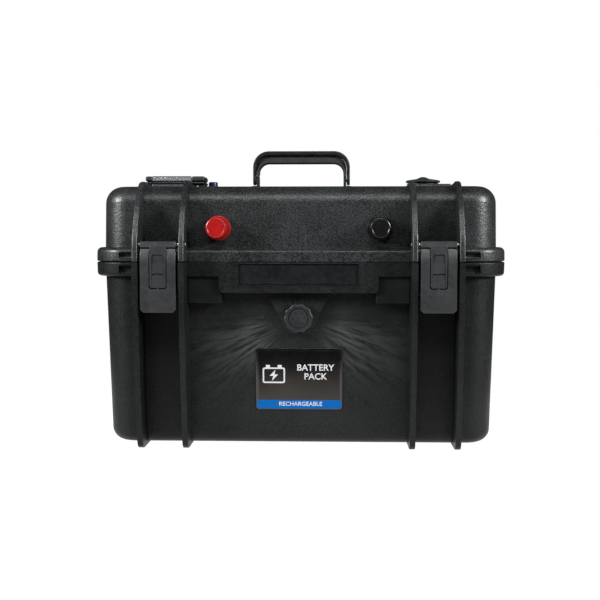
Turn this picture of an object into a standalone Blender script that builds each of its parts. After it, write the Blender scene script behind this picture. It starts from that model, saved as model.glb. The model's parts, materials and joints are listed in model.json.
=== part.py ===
"""Portable battery pack in a ribbed, latched hard case.

Run with: blender --background --python part.py
Units are metres, +Z is up and the front of the case faces -Y.
The origin is on the floor, under the middle of the pack's bounding box.
"""

import math

import bmesh
import bpy
from mathutils import Matrix, Vector

MM = 0.001
GAP = 0.3 * MM

# ---- case ----------------------------------------------------------------
BODY_Y = 8 * MM  # middle of the hollow body; the front ribs reach further than the rear ones
HALF_X = 211.5 * MM  # outer half width at the split
HALF_Y = 86 * MM  # outer half depth at the split
CORNER = 28 * MM
WALL = 4 * MM
FLANGE = 9 * MM
BASE_Z = 1.4 * MM
SPLIT_Z = 198.6 * MM
SPLIT_GAP = 0.5 * MM
LID_Z = 279 * MM
FLANGE_LOW = 183.4 * MM
FLANGE_HIGH = 213.8 * MM
BASE_DRAFT = math.tan(math.radians(3.2))  # lean of the front and rear walls
LID_DRAFT = math.tan(math.radians(1.5))
BASE_SIDE_DRAFT = math.tan(math.radians(1.2))  # lean of the side walls
LID_SIDE_DRAFT = math.tan(math.radians(0.6))
FLOOR_ROUND = 14 * MM
EDGE_ROUND = 18 * MM
CORNER_STEPS = 5
ROUND_STEPS = 4
SEAL_IN = 3.2 * MM
SEAL_WIDE = 3.6 * MM
SEAL_DEEP = 3.0 * MM

BAND_Y = -92 * MM  # face of the band and ledge that run along the front, on both sides of the split
PLATE_SEAT_Y = -89.5 * MM

# ---- ribs ----------------------------------------------------------------
RIB_X = (120 * MM, 168 * MM)
RIB_THICK = 6 * MM
FRONT_Y = -114 * MM
REAR_Y = 114 * MM
RIB_TOP_Z = 284 * MM
PAIR_X = sum(RIB_X) / 2

# ---- rear hinge ----------------------------------------------------------
HINGE_Y = 106 * MM
HINGE_Z = SPLIT_Z
KNUCKLE_R = 7.5 * MM
KNUCKLE_HALF = 17 * MM
HINGE_PIN_R = 2 * MM

# ---- latches -------------------------------------------------------------
LATCH_HALF = 18.4 * MM
LATCH_PIN_Y = -104 * MM
LATCH_PIN_Z = 217 * MM
LATCH_PIN_R = 1.5 * MM
NECK_HALF = 8.6 * MM
PEG_HALF = 14 * MM
PEG_Z = 204 * MM
PEG_Y = -107.5 * MM
PEG_R = 2 * MM

# ---- fittings ------------------------------------------------------------
TERMINAL_X = 85 * MM
TERMINAL_Z = 234 * MM
CAP_R = 10.8 * MM
CAP_FRONT_Y = -104 * MM
VALVE_Z = 139.5 * MM
VALVE_R = 15.5 * MM
HANDLE_HALF = 55 * MM
HANDLE_PIVOT_Z = 289 * MM
HANDLE_TOP_Z = 322 * MM
HANDLE_RIM = 3.6 * MM
METER_X = -142.5 * MM
METER_HALF = (33.5 * MM, 17 * MM)
METER_HINGE_Z = 289.2 * MM
SWITCH_X = -101 * MM
SOCKET_X = 138 * MM
SOCKET_R = 18 * MM
PAD_Z = 283.6 * MM

# ---- battery stack -------------------------------------------------------
CELLS = 8
CELL_SIZE = (36.4 * MM, 130 * MM, 194 * MM)
CELL_PITCH = 37 * MM
CELL_Z = 12.5 * MM
POST_Y = 45 * MM
POST_R = 8 * MM
POST_TALL = 3.5 * MM
END_PLATE = 4 * MM

BLACK = (0.022, 0.024, 0.026)
COLOURS = {
    "case_plastic": (BLACK, 0.55, 0.0),
    "latch_plastic": ((0.055, 0.057, 0.062), 0.5, 0.0),
    "handle_plastic": ((0.03, 0.032, 0.036), 0.4, 0.0),
    "grip_rubber": ((0.018, 0.018, 0.02), 0.7, 0.0),
    "red_plastic": ((0.72, 0.02, 0.02), 0.25, 0.0),
    "black_gloss": ((0.012, 0.012, 0.013), 0.22, 0.0),
    "steel": ((0.62, 0.62, 0.64), 0.3, 1.0),
    "brass": ((0.75, 0.55, 0.22), 0.3, 1.0),
    "copper": ((0.8, 0.42, 0.26), 0.35, 1.0),
    "aluminium": ((0.7, 0.71, 0.73), 0.4, 1.0),
    "cell_blue": ((0.03, 0.12, 0.38), 0.35, 0.0),
    "label": ((0.01, 0.012, 0.02), 0.15, 0.0),
    "seal_rubber": ((0.03, 0.03, 0.03), 0.8, 0.0),
    "foam": ((0.06, 0.06, 0.065), 0.95, 0.0),
    "board_green": ((0.02, 0.2, 0.08), 0.5, 0.0),
    "clear_plastic": ((0.7, 0.8, 0.85), 0.1, 0.0),
    "screen": ((0.25, 0.3, 0.22), 0.2, 0.0),
    "switch_blue": ((0.03, 0.08, 0.3), 0.3, 0.0),
}


# ---- shared tools --------------------------------------------------------
def clear_scene():
    for obj in list(bpy.data.objects):
        bpy.data.objects.remove(obj, do_unlink=True)


def material(name):
    """One Principled material for each entry of COLOURS."""
    found = bpy.data.materials.get(name)
    if found:
        return found
    colour, roughness, metallic = COLOURS[name]
    made = bpy.data.materials.new(name)
    made.use_nodes = True
    shader = made.node_tree.nodes["Principled BSDF"]
    shader.inputs["Base Color"].default_value = (*colour, 1.0)
    shader.inputs["Roughness"].default_value = roughness
    shader.inputs["Metallic"].default_value = metallic
    return made


def add(name, bm, finish, at=(0, 0, 0), helper=False):
    """An object from a bmesh. The mesh is given in world places and stored about the origin point at."""
    bmesh.ops.remove_doubles(bm, verts=bm.verts, dist=0.000001)
    bmesh.ops.recalc_face_normals(bm, faces=bm.faces)
    bm.transform(Matrix.Translation(-Vector(at)))
    mesh = bpy.data.meshes.new(name)
    bm.to_mesh(mesh)
    bm.free()
    obj = bpy.data.objects.new(name, mesh)
    obj.location = at
    bpy.context.scene.collection.objects.link(obj)
    if helper:
        obj.hide_render = True
        obj.display_type = "WIRE"
    else:
        mesh.materials.append(material(finish))
        mesh.shade_smooth()
        mesh.set_sharp_from_angle(angle=math.radians(35))
    return obj


def settle(obj):
    """Takes the modifiers into the mesh, and removes the helpers that they used."""
    helpers = [m.object for m in obj.modifiers if m.type == "BOOLEAN"]
    graph = bpy.context.evaluated_depsgraph_get()
    graph.update()
    obj.data = bpy.data.meshes.new_from_object(obj.evaluated_get(graph))
    obj.modifiers.clear()
    for helper in helpers:
        bpy.data.objects.remove(helper, do_unlink=True)
    return obj


def boolean(obj, other, operation):
    step = obj.modifiers.new(operation.lower(), "BOOLEAN")
    step.operation = operation
    step.object = other
    step.solver = "EXACT"


def fuse(obj, *bms):
    for bm in bms:
        boolean(obj, add(obj.name + "_add", bm, None, helper=True), "UNION")


def cut(obj, *bms):
    for bm in bms:
        boolean(obj, add(obj.name + "_cut", bm, None, helper=True), "DIFFERENCE")


def bevel(obj, width, segments=1, angle=40):
    step = obj.modifiers.new("bevel", "BEVEL")
    step.width = width
    step.segments = segments
    step.limit_method = "ANGLE"
    step.angle_limit = math.radians(angle)


def mm(*pairs):
    """Pairs given in millimetres, in metres."""
    return [(a * MM, b * MM) for a, b in pairs]


def block(low, high):
    """A box between two corners."""
    bm = bmesh.new()
    bmesh.ops.create_cube(bm, size=1.0)
    for v in bm.verts:
        for k in range(3):
            v.co[k] = low[k] if v.co[k] < 0 else high[k]
    return bm


def prism(outline, axis, low, high):
    """An outline of (a, b) pairs, the other two axes in order, extruded along axis from low to high."""
    bm = bmesh.new()
    others = [k for k in range(3) if k != axis]
    ends = []
    for place in (low, high):
        verts = []
        for a, b in outline:
            co = [0.0, 0.0, 0.0]
            co[axis], co[others[0]], co[others[1]] = place, a, b
            verts.append(bm.verts.new(co))
        ends.append(verts)
        bm.faces.new(verts)
    count = len(outline)
    for i in range(count):
        j = (i + 1) % count
        bm.faces.new((ends[0][i], ends[0][j], ends[1][j], ends[1][i]))
    return bm


def turned(profile, centre, axis, sides=24):
    """A profile of (radius, distance along axis) pairs, turned about an axis through centre."""
    bm = bmesh.new()
    others = [k for k in range(3) if k != axis]
    rings = []
    for radius, along in profile:
        ring = []
        for i in range(sides if radius > 0 else 1):
            angle = math.tau * i / sides
            co = list(centre)
            co[axis] += along
            co[others[0]] += radius * math.cos(angle)
            co[others[1]] += radius * math.sin(angle)
            ring.append(bm.verts.new(co))
        rings.append(ring)
    closed_loop = profile[0][0] > 0
    pairs = list(zip(rings, rings[1:] + rings[:1])) if closed_loop else list(zip(rings, rings[1:]))
    for one, two in pairs:
        for i in range(sides):
            j = (i + 1) % sides
            quad = [one[i % len(one)], one[j % len(one)], two[j % len(two)], two[i % len(two)]]
            corners = list(dict.fromkeys(quad))
            if len(corners) > 2:
                bm.faces.new(corners)
    return bm


def rod(radius, centre, axis, low, high, sides=16):
    """A plain cylinder along axis, from low to high on that axis."""
    base = list(centre)
    base[axis] = 0.0
    return turned([(0, low), (radius, low), (radius, high), (0, high)], base, axis, sides)


def rounded(half_x, half_y, radius, z, steps=CORNER_STEPS):
    """The points of a rounded rectangle about the body's middle, at height z."""
    points = []
    for quarter, (sx, sy) in enumerate(((1, 1), (-1, 1), (-1, -1), (1, -1))):
        for i in range(steps + 1):
            angle = math.pi / 2 * (quarter + i / steps)
            x = sx * (half_x - radius) + radius * math.cos(angle)
            y = sy * (half_y - radius) + radius * math.sin(angle)
            points.append((x, BODY_Y + y, z))
    return points


def loft(rings, closed=False):
    """Faces between rings of equal length, capped at both ends unless the rings close on themselves."""
    bm = bmesh.new()
    made = [[bm.verts.new(p) for p in ring] for ring in rings]
    pairs = list(zip(made, made[1:]))
    if closed:
        pairs.append((made[-1], made[0]))
    else:
        bm.faces.new(made[0])
        bm.faces.new(made[-1])
    for one, two in pairs:
        for i in range(len(one)):
            j = (i + 1) % len(one)
            bm.faces.new((one[i], one[j], two[j], two[i]))
    return bm


def arc(centre, radius, start, end, steps):
    """Points of an arc in degrees, as (a, b) pairs."""
    angles = [math.radians(start + (end - start) * i / steps) for i in range(steps + 1)]
    return [(centre[0] + radius * math.cos(t), centre[1] + radius * math.sin(t)) for t in angles]


# ---- the two shells ------------------------------------------------------
def wall_inset(z):
    """How far the outer wall leans in from its width at the split, at height z."""
    return (SPLIT_Z - z) * BASE_DRAFT if z < SPLIT_Z else (z - SPLIT_Z) * LID_DRAFT


def side_inset(z):
    """The same for the side walls, which lean less."""
    return (SPLIT_Z - z) * BASE_SIDE_DRAFT if z < SPLIT_Z else (z - SPLIT_Z) * LID_SIDE_DRAFT


def outer_ring(z, extra=0.0):
    """The outer wall's outline at height z, grown by extra."""
    half_x, half_y = HALF_X - side_inset(z) + extra, HALF_Y - wall_inset(z) + extra
    return rounded(half_x, half_y, CORNER + min(extra, 0), z)


def base_body():
    """The lower tub: rounded floor edge, leaning walls, flange, and the hollow."""
    rings = []
    for i in range(ROUND_STEPS + 1):
        angle = math.pi / 2 * i / ROUND_STEPS
        z = BASE_Z + FLOOR_ROUND * (1 - math.sin(angle))
        inward = FLOOR_ROUND * (1 - math.cos(angle))
        rings.insert(0, outer_ring(z, -inward))
    rings += [outer_ring(FLANGE_LOW), outer_ring(FLANGE_LOW + 1 * MM, FLANGE)]
    rings += [outer_ring(SPLIT_Z - SPLIT_GAP / 2, FLANGE)]
    rings += [outer_ring(SPLIT_Z - SPLIT_GAP / 2, -WALL)]
    rings += [outer_ring(BASE_Z + FLOOR_ROUND, -WALL), outer_ring(BASE_Z + WALL, -WALL - FLOOR_ROUND / 2)]
    return loft(rings)


def seal_ring(low, high, slack):
    """The closed band that the seal fills, made wider on both sides by slack."""
    outside, inside = FLANGE - SEAL_IN + slack, FLANGE - SEAL_IN - SEAL_WIDE - slack
    spans = ((low, outside), (high, outside), (high, inside), (low, inside))
    return loft([outer_ring(z, extra) for z, extra in spans], closed=True)


def lid_body():
    """The upper shell, before its ribs and the seal's groove."""
    low = SPLIT_Z + SPLIT_GAP / 2
    rings = []
    for i in range(ROUND_STEPS + 1):
        angle = math.pi / 2 * i / ROUND_STEPS
        z = LID_Z - EDGE_ROUND * (1 - math.sin(angle))
        rings.insert(0, outer_ring(z, -EDGE_ROUND * (1 - math.cos(angle))))
    rings += [outer_ring(FLANGE_HIGH), outer_ring(FLANGE_HIGH - 1 * MM, FLANGE), outer_ring(low, FLANGE)]
    rings += [outer_ring(low, -WALL), outer_ring(LID_Z - EDGE_ROUND, -WALL)]
    rings += [outer_ring(LID_Z - WALL, -WALL - EDGE_ROUND / 2)]
    return loft(rings)


def base_rib_outline():
    """Side view of a lower rib: down the front, under the floor as a skid, and up the rear."""
    top = SPLIT_Z - SPLIT_GAP / 2
    front = [(FRONT_Y, top)] + mm((-112, 165), (-107, 113), (-101, 61), (-95.5, 24), (-91.5, 8), (-83, 0))
    rear = mm((94, 0), (101, 7), (104, 24), (112, 165)) + [(REAR_Y, 180 * MM), (REAR_Y, top)]
    mid = WALL / 2
    rear_wall, rear_foot = BODY_Y + HALF_Y - mid, BODY_Y + HALF_Y - wall_inset(20 * MM) - mid
    front_wall, front_foot = BODY_Y - HALF_Y + mid, BODY_Y - HALF_Y + wall_inset(20 * MM) + mid
    inner = [(rear_wall, top), (rear_foot, 20 * MM), (rear_foot - 14 * MM, BASE_Z + mid)]
    inner += [(front_foot + 14 * MM, BASE_Z + mid), (front_foot, 20 * MM), (front_wall, top)]
    return front + rear + inner


def lid_rib_outline():
    """Side view of an upper rib: up the front, low across the top, and down the rear."""
    low = SPLIT_Z + SPLIT_GAP / 2
    front = [(FRONT_Y, low)] + mm((-111.5, 222), (-105.5, 238), (-98, 254), (-89, 266), (-78, 277))
    front += [(-70 * MM, 282.5 * MM), (-62 * MM, RIB_TOP_Z)]
    top = mm((-30, 282), (48, 282)) + [(76 * MM, RIB_TOP_Z), (84 * MM, 282 * MM)]
    rear = mm((94, 274), (101, 258), (102.5, 230)) + [(102.5 * MM, low)]
    mid = WALL / 2
    rear_wall, front_wall = BODY_Y + HALF_Y - mid, BODY_Y - HALF_Y + mid
    inner = [(rear_wall, low), (rear_wall - 2 * MM, 260 * MM), (rear_wall - 14 * MM, LID_Z - mid)]
    inner += [(front_wall + 14 * MM, LID_Z - mid), (front_wall + 2 * MM, 260 * MM), (front_wall, low)]
    return front + top + rear + inner


def rib_places():
    """The middle x of the four ribs."""
    return [side * x for x in RIB_X for side in (-1, 1)]


def rib(outline, x):
    """One rib: its side view, given its thickness about x."""
    return prism(outline, 0, x - RIB_THICK / 2, x + RIB_THICK / 2)


def flange_pocket(side, low, high):
    """The open recess beside each outer rib, in the front flange."""
    near, far = sorted((side * 172.5 * MM, side * 190 * MM))
    front = BODY_Y - HALF_Y - FLANGE
    return block((near, front - 1 * MM, low), (far, front + 5 * MM, high))


def mirrored_span(side, near, far):
    """Two x places in rising order, on the left for side -1 and on the right for side 1."""
    return sorted((side * near, side * far))


def between_ribs(side):
    """The x span between a pair of ribs, 1 mm into each."""
    return mirrored_span(side, RIB_X[0] + 1 * MM, RIB_X[1] - 1 * MM)


def add_front_steps(shell):
    """The raised band under the split, its deeper middle, and the shallow pad at each end of that."""
    top, wide = SPLIT_Z - SPLIT_GAP / 2, RIB_X[0] - RIB_THICK / 2 + 1 * MM
    under = FLANGE_LOW + 1 * MM
    fuse(shell, block((-wide, BAND_Y, FLANGE_LOW), (wide, -78 * MM, top)))
    fuse(shell, block((-83 * MM, BAND_Y, 166 * MM), (83 * MM, -74 * MM, under)))
    for side in (-1, 1):
        near, far = mirrored_span(side, 82 * MM, wide)
        fuse(shell, block((near, -88 * MM, 155 * MM), (far, -73 * MM, under)))


def add_catch_bar(shell, side):
    """The bar between two ribs that a latch's hook closes behind."""
    outline = mm((-101, 158), (-101, 166), (-74, 178), (-74, 152))
    fuse(shell, prism(outline, 0, *between_ribs(side)))


def add_valve_boss(shell):
    """The raised seat of the purge valve, and the hole through it."""
    boss = mm((-35, 167)) + arc((0, VALVE_Z), 18.5 * MM, 205, 335, 8) + mm((35, 167))
    fuse(shell, prism(boss, 1, -81 * MM, -72 * MM))
    cut(shell, rod(8 * MM + GAP, (0, 0, VALVE_Z), 1, -82 * MM, -60 * MM))


def cut_hinge_seat(shell, side):
    """Room for the lid's knuckle, and the bore of its pin."""
    place = (side * PAIR_X, HINGE_Y, HINGE_Z)
    half, bore_half = KNUCKLE_HALF + 0.8 * MM, 30 * MM
    cut(shell, rod(KNUCKLE_R + 1 * MM, place, 0, place[0] - half, place[0] + half))
    cut(shell, rod(HINGE_PIN_R + GAP, place, 0, place[0] - bore_half, place[0] + bore_half, 12))


def build_base_shell():
    shell = add("base_shell", base_body(), "case_plastic")
    for x in rib_places():
        fuse(shell, rib(base_rib_outline(), x))
    add_front_steps(shell)
    for side in (-1, 1):
        add_catch_bar(shell, side)
    add_valve_boss(shell)
    cut(shell, block((-62.5 * MM, BAND_Y - 1 * MM, 174.5 * MM), (62.5 * MM, PLATE_SEAT_Y, 196.5 * MM)))
    for side in (-1, 1):
        cut(shell, flange_pocket(side, 186 * MM, 195 * MM))
        cut_hinge_seat(shell, side)
    return settle(shell)


def add_hinge_lug(shell, side):
    """One knuckle on the lid's rear flange, with its bore."""
    low, under = SPLIT_Z + SPLIT_GAP / 2, FLANGE_HIGH - 1 * MM
    x = side * PAIR_X
    lug = arc((HINGE_Y, HINGE_Z), KNUCKLE_R, -150, 60, 10)
    lug += [(102 * MM, under), (94 * MM, under), (94 * MM, low), (98.5 * MM, low)]
    fuse(shell, prism(lug, 0, x - KNUCKLE_HALF, x + KNUCKLE_HALF))
    cut(shell, rod(HINGE_PIN_R + GAP, (x, HINGE_Y, HINGE_Z), 0, x - 20 * MM, x + 20 * MM, 12))


def cut_front_holes(shell, side):
    """The flange pocket, the latch pin's bore and the terminal's hole on one side."""
    cut(shell, flange_pocket(side, 202 * MM, 209 * MM))
    x = side * PAIR_X
    cut(shell, rod(LATCH_PIN_R + GAP, (x, LATCH_PIN_Y, LATCH_PIN_Z), 0, x - 30 * MM, x + 30 * MM, 12))
    cut(shell, rod(6 * MM + GAP, (side * TERMINAL_X, 0, TERMINAL_Z), 1, -90 * MM, -60 * MM))


def build_lid_shell():
    shell = add("lid_shell", lid_body(), "case_plastic")
    for x in rib_places():
        fuse(shell, rib(lid_rib_outline(), x))
    low, wide = SPLIT_Z + SPLIT_GAP / 2, RIB_X[0] - RIB_THICK / 2 + 1 * MM
    ledge = [(BAND_Y, low), (BAND_Y, 208.6 * MM)] + mm((-89.5, 211.6), (-76, 211.6)) + [(-76 * MM, low)]
    fuse(shell, prism(ledge, 0, -wide, wide))
    for side in (-1, 1):
        near, far = between_ribs(side)
        fuse(shell, block((near, -20 * MM, LID_Z - 2 * MM), (far, 36 * MM, PAD_Z)))
        add_hinge_lug(shell, side)
        cut_front_holes(shell, side)
    for x, radius in ((SOCKET_X, 11 * MM), (SWITCH_X, 5 * MM)):
        cut(shell, rod(radius + GAP, (x, BODY_Y, 0), 2, 260 * MM, 290 * MM))
    cut(shell, seal_ring(low - 1 * MM, low + SEAL_DEEP, 0.0))
    return settle(shell)


def build_seal():
    high = SPLIT_Z + SPLIT_GAP / 2 + SEAL_DEEP - GAP
    add("lid_seal", seal_ring(SPLIT_Z + 0.1 * MM, high, -GAP), "seal_rubber")


# ---- hinge and latches ---------------------------------------------------
def build_hinge_pins():
    for label, side in (("left", -1), ("right", 1)):
        x = side * PAIR_X
        pin = rod(HINGE_PIN_R, (x, HINGE_Y, HINGE_Z), 0, x - 28 * MM, x + 28 * MM, 12)
        add(f"hinge_pin_{label}", pin, "steel", at=(x, HINGE_Y, HINGE_Z))
        pin = rod(LATCH_PIN_R, (x, LATCH_PIN_Y, LATCH_PIN_Z), 0, x - 28 * MM, x + 28 * MM, 12)
        add(f"latch_pin_{label}", pin, "steel", at=(x, LATCH_PIN_Y, LATCH_PIN_Z))


def build_link(label, x):
    """The T-shaped link that hangs from the lid's pin. Its pegs carry the lever."""
    pin = (x, LATCH_PIN_Y, LATCH_PIN_Z)
    bar = mm((-112, 214), (-111, 220.4), (-103, 220.4), (-100.5, 217), (-103, 214))
    link = add(f"latch_link_{label}", prism(bar, 0, x - LATCH_HALF, x + LATCH_HALF), "latch_plastic", at=pin)
    neck = mm((-112, 216), (-113, 200), (-112.5, 172), (-108, 172), (-104, 200), (-105, 216))
    fuse(link, prism(neck, 0, x - NECK_HALF, x + NECK_HALF))
    fuse(link, rod(PEG_R, (x, PEG_Y, PEG_Z), 0, x - PEG_HALF, x + PEG_HALF, 12))
    cut(link, rod(LATCH_PIN_R + GAP, pin, 0, x - 25 * MM, x + 25 * MM, 12))
    settle(link)


def build_lever(label, x):
    """The lever that turns on the link's pegs: two arms, a plate below them, and the hook behind it."""
    front = mm((-111.5, 212.8), (-113.5, 196), (-113, 172), (-113.8, 160), (-112.5, 146.7))
    hook = mm((-108.5, 146.7), (-106, 151), (-101.6, 152), (-101.6, 156), (-107, 158))
    back = mm((-107.5, 190), (-104, 199), (-104, 209), (-106, 212.8))
    outline = prism(front + hook + back, 0, x - LATCH_HALF, x + LATCH_HALF)
    lever = add(f"latch_lever_{label}", outline, "latch_plastic", at=(x, PEG_Y, PEG_Z))
    window = NECK_HALF + 0.7 * MM
    cut(lever, block((x - window, -120 * MM, 171 * MM), (x + window, -95 * MM, 216 * MM)))
    half = PEG_HALF + 0.5 * MM
    cut(lever, rod(PEG_R + GAP, (x, PEG_Y, PEG_Z), 0, x - half, x + half, 12))
    settle(lever)


# ---- handle --------------------------------------------------------------
def arch(half, high, radius, leg, thick, low):
    """Front view of an arch of outer half width half, as a closed outline."""
    outer = [(-half, low)] + arc((-half + radius, high - radius), radius, 180, 90, 6)
    outer += arc((half - radius, high - radius), radius, 90, 0, 6) + [(half, low)]
    inner_r, inner_half, inner_top = max(radius - leg, 2 * MM), half - leg, high - thick
    inner = [(inner_half, low)] + arc((inner_half - inner_r, inner_top - inner_r), inner_r, 0, 90, 5)
    inner += arc((-inner_half + inner_r, inner_top - inner_r), inner_r, 90, 180, 5) + [(-inner_half, low)]
    return outer + inner


def build_handle():
    pivot = (0, BODY_Y, HANDLE_PIVOT_Z)
    outline = arch(HANDLE_HALF, HANDLE_TOP_Z, 18 * MM, HANDLE_RIM, 5 * MM, HANDLE_PIVOT_Z)
    rim = prism(outline, 1, BODY_Y - 5.5 * MM, BODY_Y + 5.5 * MM)
    bail = add("handle_bail", rim, "handle_plastic", at=pivot)
    for side in (-1, 1):
        low, high = mirrored_span(side, HANDLE_HALF - 3.4 * MM, HANDLE_HALF)
        fuse(bail, rod(5.4 * MM, pivot, 0, low, high, 16))
        low, high = mirrored_span(side, 46 * MM, 60 * MM)
        cut(bail, rod(2.2 * MM, pivot, 0, low, high, 12))
    settle(bail)
    half, high = HANDLE_HALF - HANDLE_RIM - GAP, HANDLE_TOP_Z - 5 * MM - GAP
    outline = arch(half, high, 14.4 * MM, 3.4 * MM, 9 * MM, 296 * MM)
    add("handle_grip", prism(outline, 1, BODY_Y - 7 * MM, BODY_Y + 7 * MM), "grip_rubber", at=pivot)


def build_brackets():
    """The handle's two feet on the lid, each with an ear and the pin that the bail turns on."""
    pivot = (0, BODY_Y, HANDLE_PIVOT_Z)
    for label, side in (("left", -1), ("right", 1)):
        low, high = mirrored_span(side, 44 * MM, 58 * MM)
        foot = block((low, BODY_Y - 11 * MM, LID_Z + GAP), (high, BODY_Y + 11 * MM, LID_Z + 2.4 * MM))
        bracket = add(f"handle_bracket_{label}", foot, "handle_plastic", at=(side * 50 * MM, BODY_Y, LID_Z))
        low, high = mirrored_span(side, 47.8 * MM, 51 * MM)
        ear = [(BODY_Y - 7 * MM, LID_Z + 1 * MM), (BODY_Y + 7 * MM, LID_Z + 1 * MM)]
        ear += arc((BODY_Y, HANDLE_PIVOT_Z), 5.4 * MM, 20, 160, 8)
        fuse(bracket, prism(ear, 0, low, high))
        low, high = mirrored_span(side, 50 * MM, 54.6 * MM)
        fuse(bracket, rod(1.9 * MM, pivot, 0, low, high, 12))
        settle(bracket)


# ---- terminals -----------------------------------------------------------
def build_terminal(label, x, finish):
    """Insulator through the lid's front wall, stud, inner nut, and the pull-off cap."""
    centre, wall = (x, 0, TERMINAL_Z), BODY_Y - HALF_Y
    collar_back, collar_front, collar_r = wall + 0.4 * MM, wall - 5 * MM, 13.2 * MM
    profile = [(4.4 * MM, collar_front), (collar_r, collar_front), (collar_r, collar_back)]
    profile += [(6 * MM, collar_back)] + mm((6, -66), (4.4, -66))
    add(f"{label}_insulator", turned(profile, centre, 1), finish, at=(x, wall, TERMINAL_Z))
    stud = rod(4 * MM, centre, 1, -98 * MM, -52 * MM, 16)
    add(f"{label}_stud", stud, "brass", at=(x, wall, TERMINAL_Z))
    nut = turned(mm((4.9, -65.5), (8, -65.5), (8, -59), (4.9, -59)), centre, 1, 6)
    add(f"{label}_nut", nut, "steel", at=(x, -62 * MM, TERMINAL_Z))
    back, front = collar_front - 0.4 * MM, CAP_FRONT_Y
    profile = [(0, front), (CAP_R - 1.2 * MM, front), (CAP_R, front + 1.2 * MM), (CAP_R + 0.6 * MM, back)]
    profile += [(5 * MM, back), (5 * MM, -99 * MM), (0, -99 * MM)]
    add(f"{label}_cap", turned(profile, centre, 1), finish, at=(x, back, TERMINAL_Z))


# ---- fittings on top -----------------------------------------------------
def about(x, half_x, low_y, high_y, low_z, high_z):
    """A box of half width half_x about x."""
    return block((x - half_x, low_y, low_z), (x + half_x, high_y, high_z))


def build_meter():
    """The black housing with its screen recess and hinge lugs, and the screen."""
    (half_x, half_y), high = METER_HALF, 287 * MM
    front, rear = BODY_Y - half_y, BODY_Y + half_y
    seat = (METER_X, BODY_Y, PAD_Z)
    case = about(METER_X, half_x, front, rear, PAD_Z + GAP, high)
    housing = add("meter_housing", case, "black_gloss", at=seat)
    bevel(housing, 1.5 * MM)
    settle(housing)
    cut(housing, about(METER_X, 24 * MM, BODY_Y - 11 * MM, BODY_Y + 11 * MM, 285.5 * MM, high + 1 * MM))
    for x in (METER_X - 28 * MM, METER_X + 28 * MM):
        fuse(housing, about(x, 3 * MM, rear - 1 * MM, rear + 3 * MM, 285 * MM, METER_HINGE_Z + 1.5 * MM))
    settle(housing)
    screen = about(METER_X, 23.5 * MM, BODY_Y - 10.5 * MM, BODY_Y + 10.5 * MM, 285.8 * MM, 286.7 * MM)
    add("meter_screen", screen, "screen", at=(METER_X, BODY_Y, 286 * MM))


def build_meter_cover():
    """The clear cover, hollow over the screen, with a tongue that reaches its hinge."""
    (half_x, half_y), low = METER_HALF, 287 * MM + GAP
    front, rear = BODY_Y - half_y, BODY_Y + half_y
    hinge = (METER_X, rear + 1.5 * MM, METER_HINGE_Z)
    lid = about(METER_X, half_x, front, rear - 1.4 * MM, low, 293.2 * MM)
    cover = add("meter_cover", lid, "clear_plastic", at=hinge)
    bevel(cover, 0.8 * MM)
    settle(cover)
    fuse(cover, about(METER_X, 24 * MM, rear - 2 * MM, rear + 3 * MM, 288 * MM, METER_HINGE_Z + 1.4 * MM))
    cut(cover, about(METER_X, 25.5 * MM, BODY_Y - 12 * MM, BODY_Y + 12 * MM, low - 1.3 * MM, 291.4 * MM))
    settle(cover)


def build_switch():
    """The push switch: a bezel through the roof, and the button in it."""
    centre = (SWITCH_X, BODY_Y, 0)
    profile = mm((3.4, 270), (5, 270), (5, 279.3), (8, 279.3), (8, 281.6), (7.2, 282.4), (5.6, 282.4))
    profile += mm((5.6, 280), (3.4, 280))
    add("switch_bezel", turned(profile, centre, 2, 20), "steel", at=(SWITCH_X, BODY_Y, LID_Z))
    profile = mm((0, 272), (3, 272), (3, 282.1), (5.2, 282.1), (5.2, 286.2), (3.8, 287.4), (0, 287.4))
    add("switch_button", turned(profile, centre, 2, 16), "switch_blue", at=(SWITCH_X, BODY_Y, 282 * MM))


def build_socket():
    """The charging socket with its strap anchor, and the rubber cap with its plug and strap."""
    centre, rear = (SOCKET_X, BODY_Y, 0), BODY_Y + SOCKET_R
    profile = mm((7, 262), (11, 262), (11, 283.9), (18, 283.9), (18, 285.4))
    profile += mm((13, 286), (13, 284.8), (7, 284.8))
    body = add("socket_body", turned(profile, centre, 2), "black_gloss", at=(SOCKET_X, BODY_Y, PAD_Z))
    fuse(body, about(SOCKET_X, 6 * MM, rear - 3 * MM, rear + 3.5 * MM, 283.9 * MM, 285.4 * MM))
    settle(body)
    profile = mm((0, 292.8), (3, 292.4), (6, 291), (12, 290), (19.5, 288.6), (19.5, 286.4), (0, 286.4))
    hinge = (SOCKET_X, rear + 5 * MM, 286.6 * MM)
    cap = add("socket_cap", turned(profile, centre, 2), "grip_rubber", at=hinge)
    fuse(cap, about(SOCKET_X, 5 * MM, rear - 3 * MM, rear + 6.5 * MM, 286.4 * MM, 287.4 * MM))
    fuse(cap, rod(6.4 * MM, centre, 2, 285.1 * MM, 287 * MM, 16))
    settle(cap)


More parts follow.
